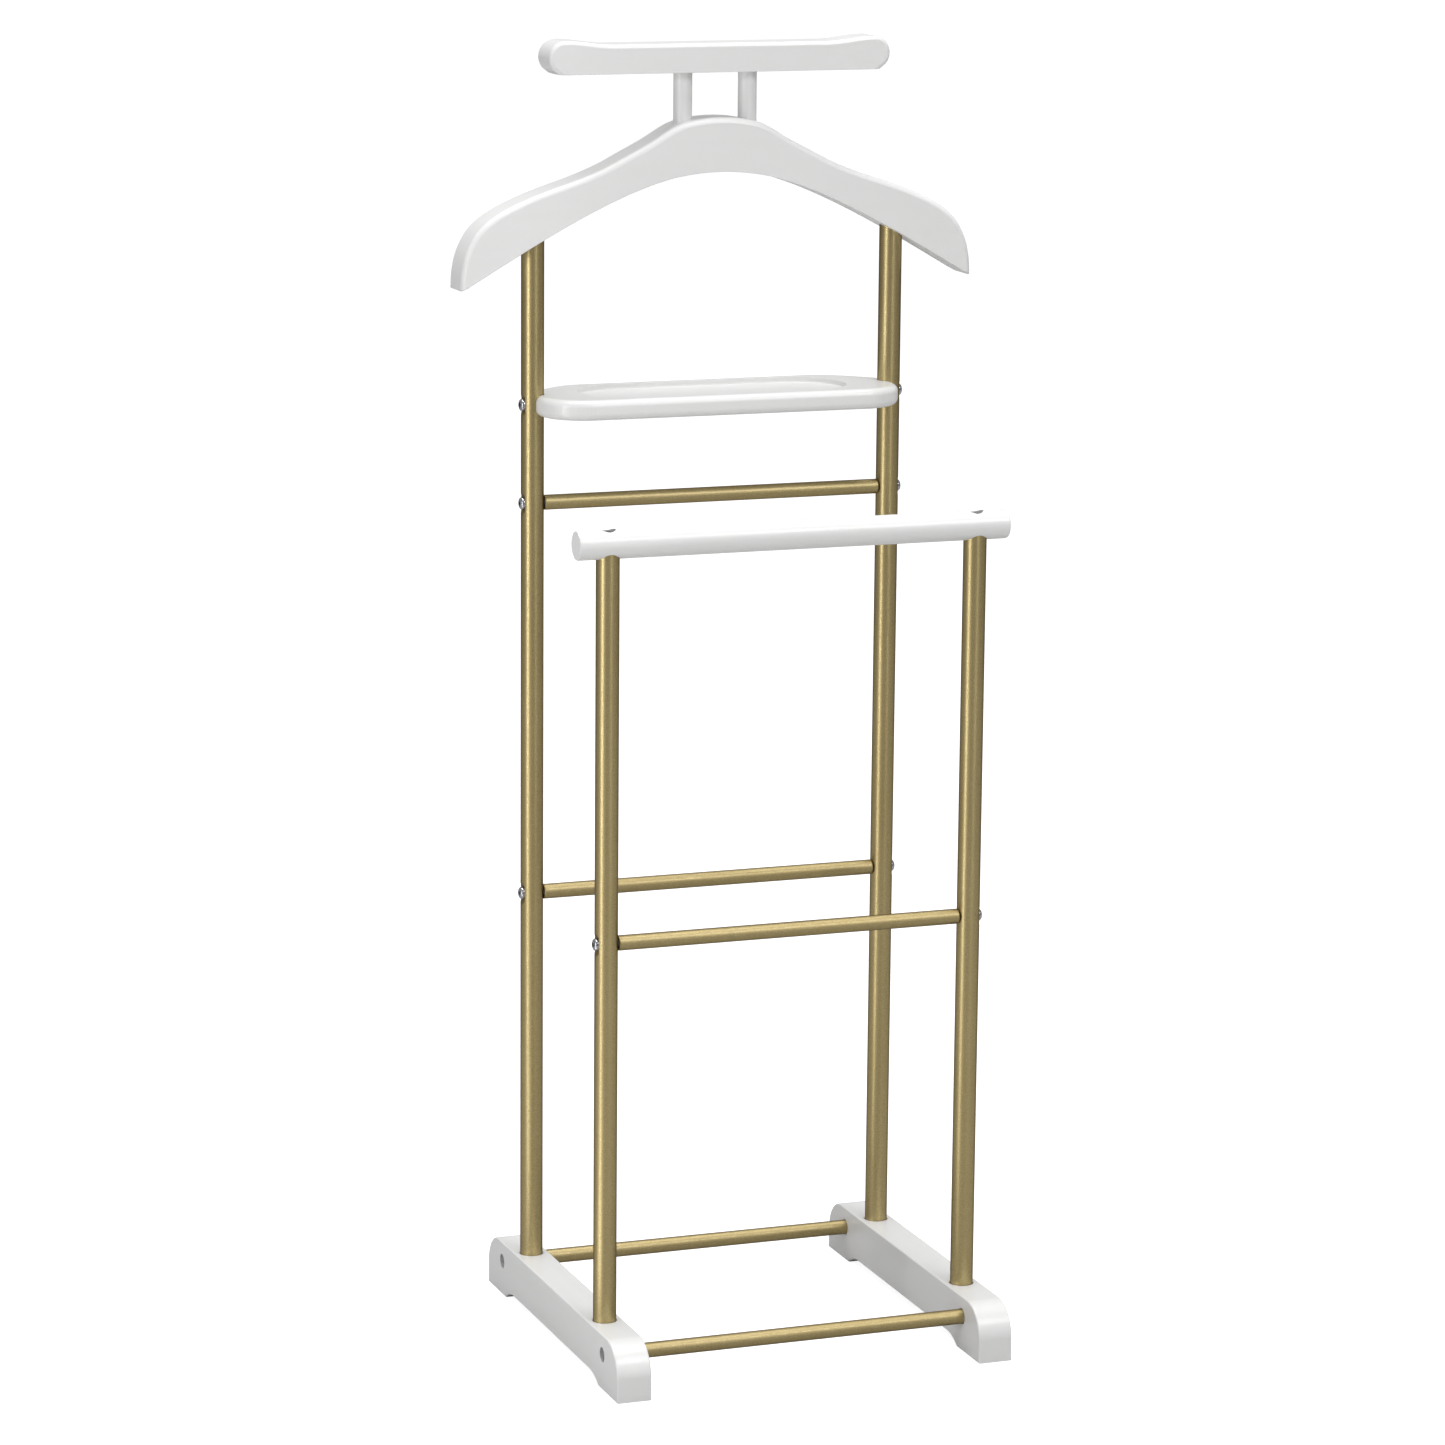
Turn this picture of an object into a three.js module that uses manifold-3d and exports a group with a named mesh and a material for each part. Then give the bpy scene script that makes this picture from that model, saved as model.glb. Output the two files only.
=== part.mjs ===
// Valet stand: a tube frame on two wooden feet, with a coat hanger, a tray and a trouser rod.
// Millimetres, +Z up, X across the stand (left is -X), the trouser rod in front (-Y).
// The origin is on the floor, in the middle of the footprint.
import * as THREE from "three";
import { mergeVertices } from "three/addons/utils/BufferGeometryUtils.js";
import Module from "manifold-3d";

const wasm = await Module();
wasm.setup();

// ---- Driving dimensions ----

// Where the posts stand
const POST_X = 157.3; // every post's distance from the middle plane
const POST_INSET = 74.7; // from each end of a foot to the nearest post's axis

// Post tubes
const POST_RADIUS = 9.5;
const TUBE_WALL = 1.2;
const DENT_DEPTH = 1.6; // how far a screw head has pressed the post's wall flat
const DENT_REACH = 15; // up and down from the screw, where the wall is round again

// Crossbar tubes
const BAR_RADIUS = 6.25;
const BAR_END_CHAMFER = 0.8;
const UPPER_BAR_DROP = 81.6; // from the tray down to the bar under it
const REAR_LOWER_BAR_Z = 360.4;
const FRONT_BAR_Z = 361.4;
const BASE_BAR_INSET = 38.6; // from each end of a foot to the nearest base bar's axis
const BASE_BAR_DROP = 17; // from the top of a foot down to the base bars' axes
const BASE_BAR_SOCKET = 10; // depth of its hole in each foot

// Feet
const FOOT_LENGTH = 342;
const FOOT_WIDTH = 29.2;
const FOOT_HEIGHT = 46.2;
const FOOT_END_RADIUS = 28;
const FOOT_EDGE = 2;
const PAD_LENGTH = 48; // each end of a foot that touches the floor
const RELIEF_HEIGHT = 7.3;
const RELIEF_RADIUS = 41; // the rounding between a pad and the raised underside
const POST_SOCKET = 22; // depth of a post's hole in a foot

// Hanger, cut from one board
const HANGER_THICKNESS = 36;
const HANGER_EDGE = 3;
const HANGER_SOCKET = 20; // depth of a rear post's hole in it
const HANGER_OVERHANG = 66.2; // from a rear post's axis out to the tip
const HANGER_TIP_Z = 867.6; // sets how high the stand reaches
const HANGER_RISE = 136.9; // from the tips up to the crest
const ARCH_RISE = 92.4; // from the tips up to the top of the arch beneath

// Top bar and its two dowels
const TOP_BAR_HALF_LENGTH = 148.3;
const TOP_BAR_THICKNESS = 34;
const TOP_BAR_EDGE = 2.5;
const TOP_BAR_GAP = 36.9; // clear space over the hanger's crest
const TOP_BAR_HEIGHT = 27.4; // at its raised ends
const TOP_BAR_DIP = 3.6; // how far its middle lies below its ends
const TOP_BAR_NOSE_RADIUS = 14;
const TOP_BAR_SLOPE = 42; // how far along its top takes to sink from a nose to the middle
const TOP_BAR_NOSE_ARC = 0.45; // radians under level where the nose turns into a straight corner
const TOP_BAR_CORNER = 5; // how far the flat underside reaches past a nose's centre
const DOWEL_RADIUS = 7.75;
const DOWEL_X = 28.2;
const DOWEL_IN_BAR = 12;
const DOWEL_IN_HANGER = 14;

// Tray
const TRAY_DROP = 96; // from the hanger's tips down to the middle of its thickness
const TRAY_THICKNESS = 17;
const TRAY_HALF_DEPTH = 52;
const TRAY_EDGE = 2.5;
const TRAY_FRONT_CORNER = 38;
const TRAY_END_HALF = 16; // half of the straight part of each end
const TRAY_REAR_SHOULDER = 58; // how far from each end its rear edge starts to taper
const RECESS_END_MARGIN = 41.3; // from a post's axis to the recess
const RECESS_SIDE_MARGIN = 11; // from the tray's long edges to the recess
const RECESS_DEPTH = 4.6;
const RECESS_SLOPE = 3; // how far the recess's wall leans in on its way down

// Trouser rod
const ROD_RADIUS = 12;
const ROD_OVERHANG = 27; // from a front post's axis to the rod's end
const ROD_Z = 686.6;
const ROD_CHAMFER = 2;
const ROD_SOCKET = 11; // depth of a front post's hole, from the rod's underside
const ROD_SCREW_RECESS = 5.6; // depth of a screw's hole, from the rod's top

// Screws and threaded inserts, all M6
const SHANK_RADIUS = 3;
const HEAD_RADIUS = 5.25;
const HEAD_HEIGHT = 3.3;
const SOCKET_RADIUS = 2.3; // of the six-sided hole in a head
const SOCKET_DEPTH = 1.9;
const FOOT_SCREW_RECESS = 7; // in a foot's outer side and in its underside
const HEAD_ROOM = 0.95; // around a head in its recess
const INSERT_LENGTH = 16;
const TRAY_INSERT_RADIUS = 5;
const THREAD_HOLD = 11; // how far a screw reaches into its insert
const STUD_IN_WOOD = 14;
const OVERCUT = 50; // how far a cutting tool runs on past an open face

// Clearances
const SLIDE_FIT = 0.4; // around a post in wood
const GLUE_FIT = 0.2; // around a dowel, an insert or a bar end in wood
const THREAD_FIT = 0.3; // around a shank in its hole
const FACE_GAP = 0.1; // between two faces that meet

// ---- Sizes that follow from them ----

const postY = FOOT_LENGTH / 2 - POST_INSET;
const baseBarY = FOOT_LENGTH / 2 - BASE_BAR_INSET;
const baseBarZ = FOOT_HEIGHT - BASE_BAR_DROP;
const trayZ = HANGER_TIP_Z - TRAY_DROP;
const upperBarZ = trayZ - UPPER_BAR_DROP;
const hangerHalfWidth = POST_X + HANGER_OVERHANG;
const topBarBase = HANGER_TIP_Z + HANGER_RISE + TOP_BAR_GAP;
const recessHalfLength = POST_X - RECESS_END_MARGIN;
const recessHalfDepth = TRAY_HALF_DEPTH - RECESS_SIDE_MARGIN;
const rodHalfLength = POST_X + ROD_OVERHANG;
const recessRadius = HEAD_RADIUS + HEAD_ROOM;
const shankHole = SHANK_RADIUS + THREAD_FIT;
const postHole = POST_RADIUS + SLIDE_FIT;
const dowelHole = DOWEL_RADIUS + GLUE_FIT;

// ---- Materials ----

const lacquer = new THREE.MeshStandardMaterial({ color: 0xe9e9e6, roughness: 0.35, metalness: 0 });
const brass = new THREE.MeshStandardMaterial({ color: 0xa8945f, roughness: 0.35, metalness: 1 });
const steel = new THREE.MeshStandardMaterial({ color: 0xb9bcc2, roughness: 0.2, metalness: 1 });
const zinc = new THREE.MeshStandardMaterial({ color: 0x9a9c9e, roughness: 0.5, metalness: 1 });

// ---- Turning geometry into solids ----

const ROUND_SIDES = 20; // flat sides that stand for a round one
const SMALL_SIDES = 10; // the same, on screws and inserts

const X_AXIS = new THREE.Vector3(1, 0, 0);
const Y_AXIS = new THREE.Vector3(0, 1, 0);
const Z_AXIS = new THREE.Vector3(0, 0, 1);
const DOWN = new THREE.Vector3(0, 0, -1);

function toSolid(geometry) {
  const bare = geometry.clone();
  bare.deleteAttribute("normal");
  bare.deleteAttribute("uv");
  const merged = mergeVertices(bare, 1e-4);
  const corners = merged.index.array;
  const kept = [];
  for (let i = 0; i < corners.length; i += 3) {
    const [a, b, c] = corners.slice(i, i + 3);
    if (a !== b && b !== c && c !== a) kept.push(a, b, c);
  }
  return new wasm.Manifold(
    new wasm.Mesh({
      numProp: 3,
      vertProperties: merged.attributes.position.array,
      triVerts: new Uint32Array(kept),
    }),
  );
}

// A round solid: its profile is [radius, distance] pairs along the direction, from start.
function turned(profile, start, direction, sides = ROUND_SIDES) {
  const points = profile.map(([radius, distance]) => new THREE.Vector2(radius, distance));
  const geometry = new THREE.LatheGeometry(points, sides);
  const turn = new THREE.Quaternion().setFromUnitVectors(Y_AXIS, direction);
  geometry.applyQuaternion(turn);
  geometry.translate(start.x, start.y, start.z);
  return toSolid(geometry);
}

function cylinder(radius, length, start, direction, sides = ROUND_SIDES) {
  return turned([[0, 0], [radius, 0], [radius, length], [0, length]], start, direction, sides);
}

// A board: an outline in the plane of the directions right and up, extruded evenly to both sides.
function board(shape, thickness, edge, right, up, curveSegments, bevelSegments = 2) {
  const geometry = new THREE.ExtrudeGeometry(shape, {
    depth: thickness - 2 * edge,
    bevelEnabled: true,
    bevelThickness: edge,
    bevelSize: edge,
    bevelOffset: -edge,
    bevelSegments,
    curveSegments,
  });
  geometry.translate(0, 0, edge - thickness / 2);
  const across = new THREE.Vector3().crossVectors(right, up);
  geometry.applyMatrix4(new THREE.Matrix4().makeBasis(right, up, across));
  return geometry;
}

function at(x, y, z) {
  return new THREE.Vector3(x, y, z);
}

const group = new THREE.Group();

function addPart(name, solid, material) {
  const made = solid.getMesh();
  const geometry = new THREE.BufferGeometry();
  geometry.setAttribute("position", new THREE.BufferAttribute(made.vertProperties, 3));
  geometry.setIndex(new THREE.BufferAttribute(made.triVerts, 1));
  geometry.computeVertexNormals();
  const mesh = new THREE.Mesh(geometry, material);
  mesh.name = name;
  group.add(mesh);
}

// ---- Screws and inserts ----

// A button-head screw whose head rests on seat; it points along direction.
function buttonScrew(seat, direction, length) {
  const rise = HEAD_HEIGHT;
  const profile = [
    [0, -rise],
    [HEAD_RADIUS * 0.55, -rise],
    [HEAD_RADIUS * 0.84, -rise * 0.72],
    [HEAD_RADIUS, -rise * 0.2],
    [HEAD_RADIUS, 0],
    [SHANK_RADIUS, 0],
    [SHANK_RADIUS, length],
    [0, length],
  ];
  const body = turned(profile, seat, direction, SMALL_SIDES);
  const mouth = seat.clone().addScaledVector(direction, -2 * rise);
  return body.subtract(cylinder(SOCKET_RADIUS, rise + SOCKET_DEPTH, mouth, direction, 6));
}

// A threaded insert, bored right through along its axis.
function insert(radius, length, start, direction) {
  const bore = shankHole;
  const profile = [[bore, 0], [radius, 0], [radius, length], [bore, length], [bore, 0]];
  return turned(profile, start, direction, SMALL_SIDES);
}

// ---- Tubes ----

// The share of a dent's depth at a height away from its screw: all of it under the head.
function dentShare(rise) {
  const beyond = (Math.abs(rise) - HEAD_RADIUS) / (DENT_REACH - HEAD_RADIUS);
  return 1 - Math.min(Math.max(beyond, 0), 1);
}

// A round column whose outer side is pressed flat at each dent.
function dentedColumn(radius, bottom, top, side, dents) {
  const steps = [-DENT_REACH, -HEAD_RADIUS, HEAD_RADIUS, DENT_REACH];
  const heights = dents.flatMap((z) => steps.map((step) => z + step));
  const rings = [bottom, ...heights.sort((a, b) => a - b), top];
  const profile = [[0, bottom], ...rings.map((z) => [radius, z]), [0, top]];
  const points = profile.map(([r, z]) => new THREE.Vector2(r, z));
  const geometry = new THREE.LatheGeometry(points, ROUND_SIDES);
  geometry.rotateX(Math.PI / 2);
  const position = geometry.attributes.position;
  for (let i = 0; i < position.count; i += 1) {
    const z = position.getZ(i);
    const press = dents.reduce((most, dent) => Math.max(most, dentShare(z - dent)), 0);
    const limit = radius - DENT_DEPTH * press;
    position.setX(i, side * Math.min(side * position.getX(i), limit));
  }
  return geometry;
}

// A post, from bottom to top, with a screw hole through both walls at each dent.
function post(side, y, bottom, top, dents) {
  const outer = dentedColumn(POST_RADIUS, bottom, top, side, dents);
  const inner = dentedColumn(POST_RADIUS - TUBE_WALL, bottom - 1, top + 1, side, dents);
  outer.translate(side * POST_X, y, 0);
  inner.translate(side * POST_X, y, 0);
  let tube = toSolid(outer).subtract(toSolid(inner));
  for (const z of dents) {
    const start = at(side * POST_X - 2 * POST_RADIUS, y, z);
    const hole = cylinder(shankHole, 4 * POST_RADIUS, start, X_AXIS, SMALL_SIDES);
    tube = tube.subtract(hole);
  }
  return tube;
}

function crossbar(halfLength, y, z) {
  const r = BAR_RADIUS;
  const c = BAR_END_CHAMFER;
  const inside = BAR_RADIUS - TUBE_WALL;
  const length = 2 * halfLength;
  const profile = [
    [inside, 0], [r - c, 0], [r, c], [r, length - c], [r - c, length], [inside, length], [inside, 0],
  ];
  return turned(profile, at(-halfLength, y, z), X_AXIS);
}

// ---- Outlines ----

// Points of a half outline, as [share of the half width, height], mirrored to run left to right.
function mirroredPoints(half, halfWidth) {
  const right = half.map(([share, z]) => new THREE.Vector2(share * halfWidth, z));
  const left = right.filter((p) => p.x > 0).map((p) => new THREE.Vector2(-p.x, p.y));
  return [...left.reverse(), ...right];
}

function hangerUnderside() {
  const half = [
    [0, 1], [0.17, 0.96], [0.33, 0.845], [0.5, 0.668], [0.68, 0.445], [0.84, 0.226], [1, 0],
  ];
  const points = half.map(([share, part]) => [share, HANGER_TIP_Z + part * ARCH_RISE]);
  return new THREE.SplineCurve(mirroredPoints(points, hangerHalfWidth));
}

function hangerTop() {
  const half = [
    [0, 1], [0.085, 0.99], [0.17, 0.955], [0.27, 0.862], [0.36, 0.787], [0.445, 0.717],
    [0.55, 0.65], [0.66, 0.592], [0.76, 0.532], [0.86, 0.454], [0.93, 0.365], [0.975, 0.245],
    [0.995, 0.12], [1, 0],
  ];
  const points = half.map(([share, part]) => [share, HANGER_TIP_Z + part * HANGER_RISE]);
  return new THREE.SplineCurve(mirroredPoints(points, hangerHalfWidth));
}

// The height of a curve that runs from left to right, at x.
function heightAt(curve, x) {
  const points = curve.getPoints(400);
  const next = points.findIndex((p) => p.x >= x);
  const a = points[next - 1];
  const b = points[next];
  return a.y + ((b.y - a.y) * (x - a.x)) / (b.x - a.x);
}

function hangerShape() {
  const top = hangerTop();
  const shape = new THREE.Shape();
  shape.moveTo(-hangerHalfWidth, HANGER_TIP_Z);
  shape.splineThru(hangerUnderside().points.slice(1));
  shape.splineThru([...top.points].reverse().slice(1));
  return shape;
}

function topBarShape() {
  const top = topBarBase + TOP_BAR_HEIGHT;
  const nose = TOP_BAR_NOSE_RADIUS;
  const noseX = TOP_BAR_HALF_LENGTH - nose;
  const noseZ = top - nose;
  const middle = top - TOP_BAR_DIP;
  const sunk = noseX - TOP_BAR_SLOPE; // where the top has sunk to the middle's level
  const early = noseX - 0.4 * TOP_BAR_SLOPE;
  const late = noseX - 0.6 * TOP_BAR_SLOPE;
  const corner = noseX + TOP_BAR_CORNER;
  const shape = new THREE.Shape();
  shape.moveTo(-corner, topBarBase);
  shape.lineTo(corner, topBarBase);
  shape.absarc(noseX, noseZ, nose, -TOP_BAR_NOSE_ARC, Math.PI / 2, false);
  shape.bezierCurveTo(early, top, late, middle, sunk, middle);
  shape.lineTo(-sunk, middle);
  shape.bezierCurveTo(-late, middle, -early, top, -noseX, top);
  shape.absarc(-noseX, noseZ, nose, Math.PI / 2, Math.PI + TOP_BAR_NOSE_ARC, false);
  return shape;
}

// Seen from above, with the rear at +Y: round front corners, and a rear edge that tapers to the ends.
function trayShape() {
  const end = POST_X;
  const deep = TRAY_HALF_DEPTH;
  const corner = TRAY_FRONT_CORNER;
  const frontArc = Math.acos(1 - (deep - TRAY_END_HALF) / corner);
  const arcX = end - corner * Math.sin(frontArc);
  const arcY = corner - deep;
  const shoulder = end - TRAY_REAR_SHOULDER;
  const nearEnd = end - 0.2 * TRAY_REAR_SHOULDER;
  const nearShoulder = end - 0.5 * TRAY_REAR_SHOULDER;
  const bulge = TRAY_END_HALF + 0.25 * (deep - TRAY_END_HALF);
  const shape = new THREE.Shape();
  shape.moveTo(-arcX, -deep);
  shape.lineTo(arcX, -deep);
  shape.absarc(arcX, arcY, corner, -Math.PI / 2, frontArc - Math.PI / 2, false);
  shape.lineTo(end, TRAY_END_HALF);
  shape.bezierCurveTo(nearEnd, bulge, nearShoulder, deep, shoulder, deep);
  shape.lineTo(-shoulder, deep);
  shape.bezierCurveTo(-nearShoulder, deep, -nearEnd, bulge, -end, TRAY_END_HALF);
  shape.lineTo(-end, -TRAY_END_HALF);
  shape.absarc(-arcX, arcY, corner, -Math.PI / 2 - frontArc, -Math.PI / 2, false);
  return shape;
}

function recessShape() {
  const r = recessHalfDepth;
  const centre = recessHalfLength - r;
  const shape = new THREE.Shape();
  shape.moveTo(-centre, -r);
  shape.lineTo(centre, -r);
  shape.absarc(centre, 0, r, -Math.PI / 2, Math.PI / 2, false);
  shape.lineTo(-centre, r);
  shape.absarc(-centre, 0, r, Math.PI / 2, (3 * Math.PI) / 2, false);
  return shape;
}

// Seen from the side: Y across, Z up.
function footShape() {
  const half = FOOT_LENGTH / 2;
  const r = FOOT_END_RADIUS;
  const padEnd = half - PAD_LENGTH;
  const reliefArc = Math.acos(1 - RELIEF_HEIGHT / RELIEF_RADIUS);
  const reliefX = padEnd - RELIEF_RADIUS * Math.sin(reliefArc);
  const reliefZ = RELIEF_HEIGHT - RELIEF_RADIUS;
  const start = Math.PI / 2 - reliefArc;
  const shape = new THREE.Shape();
  shape.moveTo(-reliefX, RELIEF_HEIGHT);
  shape.lineTo(reliefX, RELIEF_HEIGHT);
  shape.absarc(reliefX, reliefZ, RELIEF_RADIUS, Math.PI / 2, start, true);
  shape.lineTo(half, 0);
  shape.absarc(half - r, FOOT_HEIGHT - r, r, 0, Math.PI / 2, false);
  shape.absarc(r - half, FOOT_HEIGHT - r, r, Math.PI / 2, Math.PI, false);
  shape.lineTo(-half, 0);
  shape.lineTo(-padEnd, 0);
  shape.absarc(-reliefX, reliefZ, RELIEF_RADIUS, Math.PI - start, Math.PI / 2, true);
  return shape;
}

// ---- Heights that follow from the driving dimensions ----

const hangerSeatZ = heightAt(hangerUnderside(), POST_X);
const rearPostTop = hangerSeatZ + HANGER_SOCKET;
const frontPostTop = ROD_Z - ROD_RADIUS + ROD_SOCKET;
const postBottom = FOOT_HEIGHT - POST_SOCKET;
const dentSeat = POST_X + POST_RADIUS - DENT_DEPTH; // where a screw head rests on a post
const barHalfLength = POST_X - POST_RADIUS - FACE_GAP;
const footInside = POST_X - FOOT_WIDTH / 2;
const baseBarHalfLength = footInside + BASE_BAR_SOCKET - FACE_GAP;
const postInside = POST_RADIUS - TUBE_WALL - GLUE_FIT;
const barInside = BAR_RADIUS - TUBE_WALL - GLUE_FIT;
const rodScrewSeat = ROD_Z + ROD_RADIUS - ROD_SCREW_RECESS;
const footBoltSeat = RELIEF_HEIGHT + FOOT_SCREW_RECESS;
const footScrewSeat = POST_X + FOOT_WIDTH / 2 - FOOT_SCREW_RECESS;

const SIDES = { left: -1, right: 1 };
const ROWS = { rear: postY, front: -postY };
const POST_TOPS = { rear: rearPostTop, front: frontPostTop };
const DENTS = {
  rear: [REAR_LOWER_BAR_Z, upperBarZ, trayZ],
  front: [FRONT_BAR_Z],
};

function inward(side) {
  return side > 0 ? X_AXIS.clone().negate() : X_AXIS;
}

// ---- Sub-parts ----

function foot(side) {
  const x = side * POST_X;
  const geometry = board(footShape(), FOOT_WIDTH, FOOT_EDGE, Y_AXIS, Z_AXIS, 5, 1);
  let body = toSolid(geometry.translate(x, 0, 0));
  for (const y of Object.values(ROWS)) {
    const base = at(x, y, 0);
    const hole = cylinder(postHole, FOOT_HEIGHT, at(x, y, postBottom - FACE_GAP), Z_AXIS);
    const recess = cylinder(recessRadius, footBoltSeat, base, Z_AXIS);
    const bore = cylinder(shankHole, FOOT_HEIGHT, base, Z_AXIS, SMALL_SIDES);
    body = body.subtract(hole).subtract(recess).subtract(bore);
  }
  for (const y of [baseBarY, -baseBarY]) {
    const middle = at(0, y, baseBarZ);
    const outside = at(side * (footScrewSeat + 2 * FOOT_SCREW_RECESS), y, baseBarZ);
    const out = inward(-side);
    const hole = cylinder(BAR_RADIUS + GLUE_FIT, footInside + BASE_BAR_SOCKET, middle, out);
    const bore = cylinder(shankHole, 2 * POST_X, middle, out, SMALL_SIDES);
    const recess = cylinder(recessRadius, 2 * FOOT_SCREW_RECESS, outside, inward(side));
    body = body.subtract(hole).subtract(bore).subtract(recess);
  }
  return body;
}

function hanger() {
  const geometry = board(hangerShape(), HANGER_THICKNESS, HANGER_EDGE, X_AXIS, Z_AXIS, 2);
  let body = toSolid(geometry.translate(0, postY, 0));
  for (const side of Object.values(SIDES)) {
    const x = side * POST_X;
    const holeTop = at(x, postY, rearPostTop + FACE_GAP);
    const seat = at(x, postY, rearPostTop);
    const dowelFoot = at(side * DOWEL_X, postY, dowelBottom() - FACE_GAP);
    const hole = cylinder(postHole, OVERCUT, holeTop, DOWN);
    const studHole = cylinder(shankHole, STUD_IN_WOOD + 2 * FACE_GAP, seat, Z_AXIS, SMALL_SIDES);
    const dowelCut = cylinder(dowelHole, OVERCUT, dowelFoot, Z_AXIS);
    body = body.subtract(hole).subtract(studHole).subtract(dowelCut);
  }
  return body;
}

function dowelBottom() {
  return heightAt(hangerTop(), DOWEL_X) - DOWEL_IN_HANGER;
}

function dowelTop() {
  return topBarBase + DOWEL_IN_BAR;
}

function topBar() {
  const geometry = board(topBarShape(), TOP_BAR_THICKNESS, TOP_BAR_EDGE, X_AXIS, Z_AXIS, 6);
  let body = toSolid(geometry.translate(0, postY, 0));
  for (const side of Object.values(SIDES)) {
    const holeTop = at(side * DOWEL_X, postY, dowelTop() + FACE_GAP);
    body = body.subtract(cylinder(dowelHole, OVERCUT, holeTop, DOWN));
  }
  return body;
}

function dowel(side) {
  const start = at(side * DOWEL_X, postY, dowelBottom());
  return cylinder(DOWEL_RADIUS, dowelTop() - dowelBottom(), start, Z_AXIS);
}

function tray() {
  const plate = board(trayShape(), TRAY_THICKNESS, TRAY_EDGE, X_AXIS, Y_AXIS, 6);
  let body = toSolid(plate.translate(0, postY, trayZ));
  const cutter = new THREE.ExtrudeGeometry(recessShape(), {
    depth: RECESS_DEPTH,
    bevelEnabled: true,
    bevelThickness: RECESS_SLOPE,
    bevelSize: RECESS_SLOPE,
    bevelOffset: -RECESS_SLOPE,
    bevelSegments: 2,
    curveSegments: 7,
  });
  const floorZ = trayZ + TRAY_THICKNESS / 2 - RECESS_DEPTH;
  cutter.translate(0, postY, floorZ + RECESS_SLOPE);
  body = body.subtract(toSolid(cutter));
  for (const side of Object.values(SIDES)) {
    const under = at(side * POST_X, postY, trayZ - TRAY_THICKNESS);
    const notch = cylinder(POST_RADIUS + THREAD_FIT, 2 * TRAY_THICKNESS, under, Z_AXIS);
    const axis = at(side * POST_X, postY, trayZ);
    const reach = POST_RADIUS + THREAD_FIT + INSERT_LENGTH + FACE_GAP;
    const hole = cylinder(TRAY_INSERT_RADIUS + GLUE_FIT, reach, axis, inward(side));
    body = body.subtract(notch).subtract(hole);
  }
  return body;
}

function trouserRod() {
  const r = ROD_RADIUS;
  const c = ROD_CHAMFER;
  const length = 2 * rodHalfLength;
  const profile = [[0, 0], [r - c, 0], [r, c], [r, length - c], [r - c, length], [0, length]];
  let body = turned(profile, at(-rodHalfLength, -postY, ROD_Z), X_AXIS);
  for (const side of Object.values(SIDES)) {
    const x = side * POST_X;
    const holeTop = at(x, -postY, frontPostTop + FACE_GAP);
    const seat = at(x, -postY, rodScrewSeat);
    const hole = cylinder(POST_RADIUS + GLUE_FIT, OVERCUT, holeTop, DOWN);
    const bore = cylinder(shankHole, OVERCUT, seat, DOWN, SMALL_SIDES);
    const recess = cylinder(recessRadius, OVERCUT, seat, Z_AXIS);
    body = body.subtract(hole).subtract(bore).subtract(recess);
  }
  return body;
}

// ---- Assembly ----

function addWood() {
  addPart("top_bar", topBar(), lacquer);
  addPart("hanger", hanger(), lacquer);
  addPart("tray", tray(), lacquer);
  addPart("trouser_rod", trouserRod(), lacquer);
  for (const [name, side] of Object.entries(SIDES)) {
    addPart(`top_bar_dowel_${name}`, dowel(side), lacquer);
    addPart(`foot_${name}`, foot(side), lacquer);
  }
}

// A post with an insert in each end and the bolt that holds it to its foot.
function addPost(row, name, side) {
  const x = side * POST_X;
  const y = ROWS[row];
  const top = POST_TOPS[row];
  const lower = insert(postInside, INSERT_LENGTH, at(x, y, postBottom + FACE_GAP), Z_AXIS);
  const upper = insert(postInside, INSERT_LENGTH, at(x, y, top - FACE_GAP), DOWN);
  const length = postBottom - footBoltSeat + THREAD_HOLD;
  const bolt = buttonScrew(at(x, y, footBoltSeat - FACE_GAP), Z_AXIS, length);
  addPart(`${row}_post_${name}`, post(side, y, postBottom, top, DENTS[row]), brass);
  addPart(`${row}_post_lower_insert_${name}`, lower, zinc);
  addPart(`${row}_post_upper_insert_${name}`, upper, zinc);
  addPart(`${row}_post_bolt_${name}`, bolt, steel);
}

function addPosts() {
  for (const row of Object.keys(ROWS)) {
    for (const [name, side] of Object.entries(SIDES)) {
      addPost(row, name, side);
    }
  }
}

function addHangerStuds() {
  for (const [name, side] of Object.entries(SIDES)) {
    const start = at(side * POST_X, postY, rearPostTop - THREAD_HOLD);
    const length = THREAD_HOLD + STUD_IN_WOOD;
    const stud = cylinder(SHANK_RADIUS, length, start, Z_AXIS, SMALL_SIDES);
    addPart(`hanger_stud_${name}`, stud, zinc);
  }
}

function addRodScrews() {
  for (const [name, side] of Object.entries(SIDES)) {
    const seat = at(side * POST_X, -postY, rodScrewSeat + FACE_GAP);
    const length = rodScrewSeat - frontPostTop + THREAD_HOLD;
    addPart(`trouser_rod_screw_${name}`, buttonScrew(seat, DOWN, length), steel);
  }
}

// A crossbar with an insert in each end and a screw through each post or foot.
function addCrossbar(name, y, z, halfLength, seatX) {
  addPart(name, crossbar(halfLength, y, z), brass);
  for (const [end, side] of Object.entries(SIDES)) {
    const into = inward(side);
    const start = at(side * (halfLength - FACE_GAP), y, z);
    addPart(`${name}_insert_${end}`, insert(barInside, INSERT_LENGTH, start, into), zinc);
    const seat = at(side * (seatX + FACE_GAP), y, z);
    const length = seatX - halfLength + THREAD_HOLD;
    addPart(`${name}_screw_${end}`, buttonScrew(seat, into, length), steel);
  }
}

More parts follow.
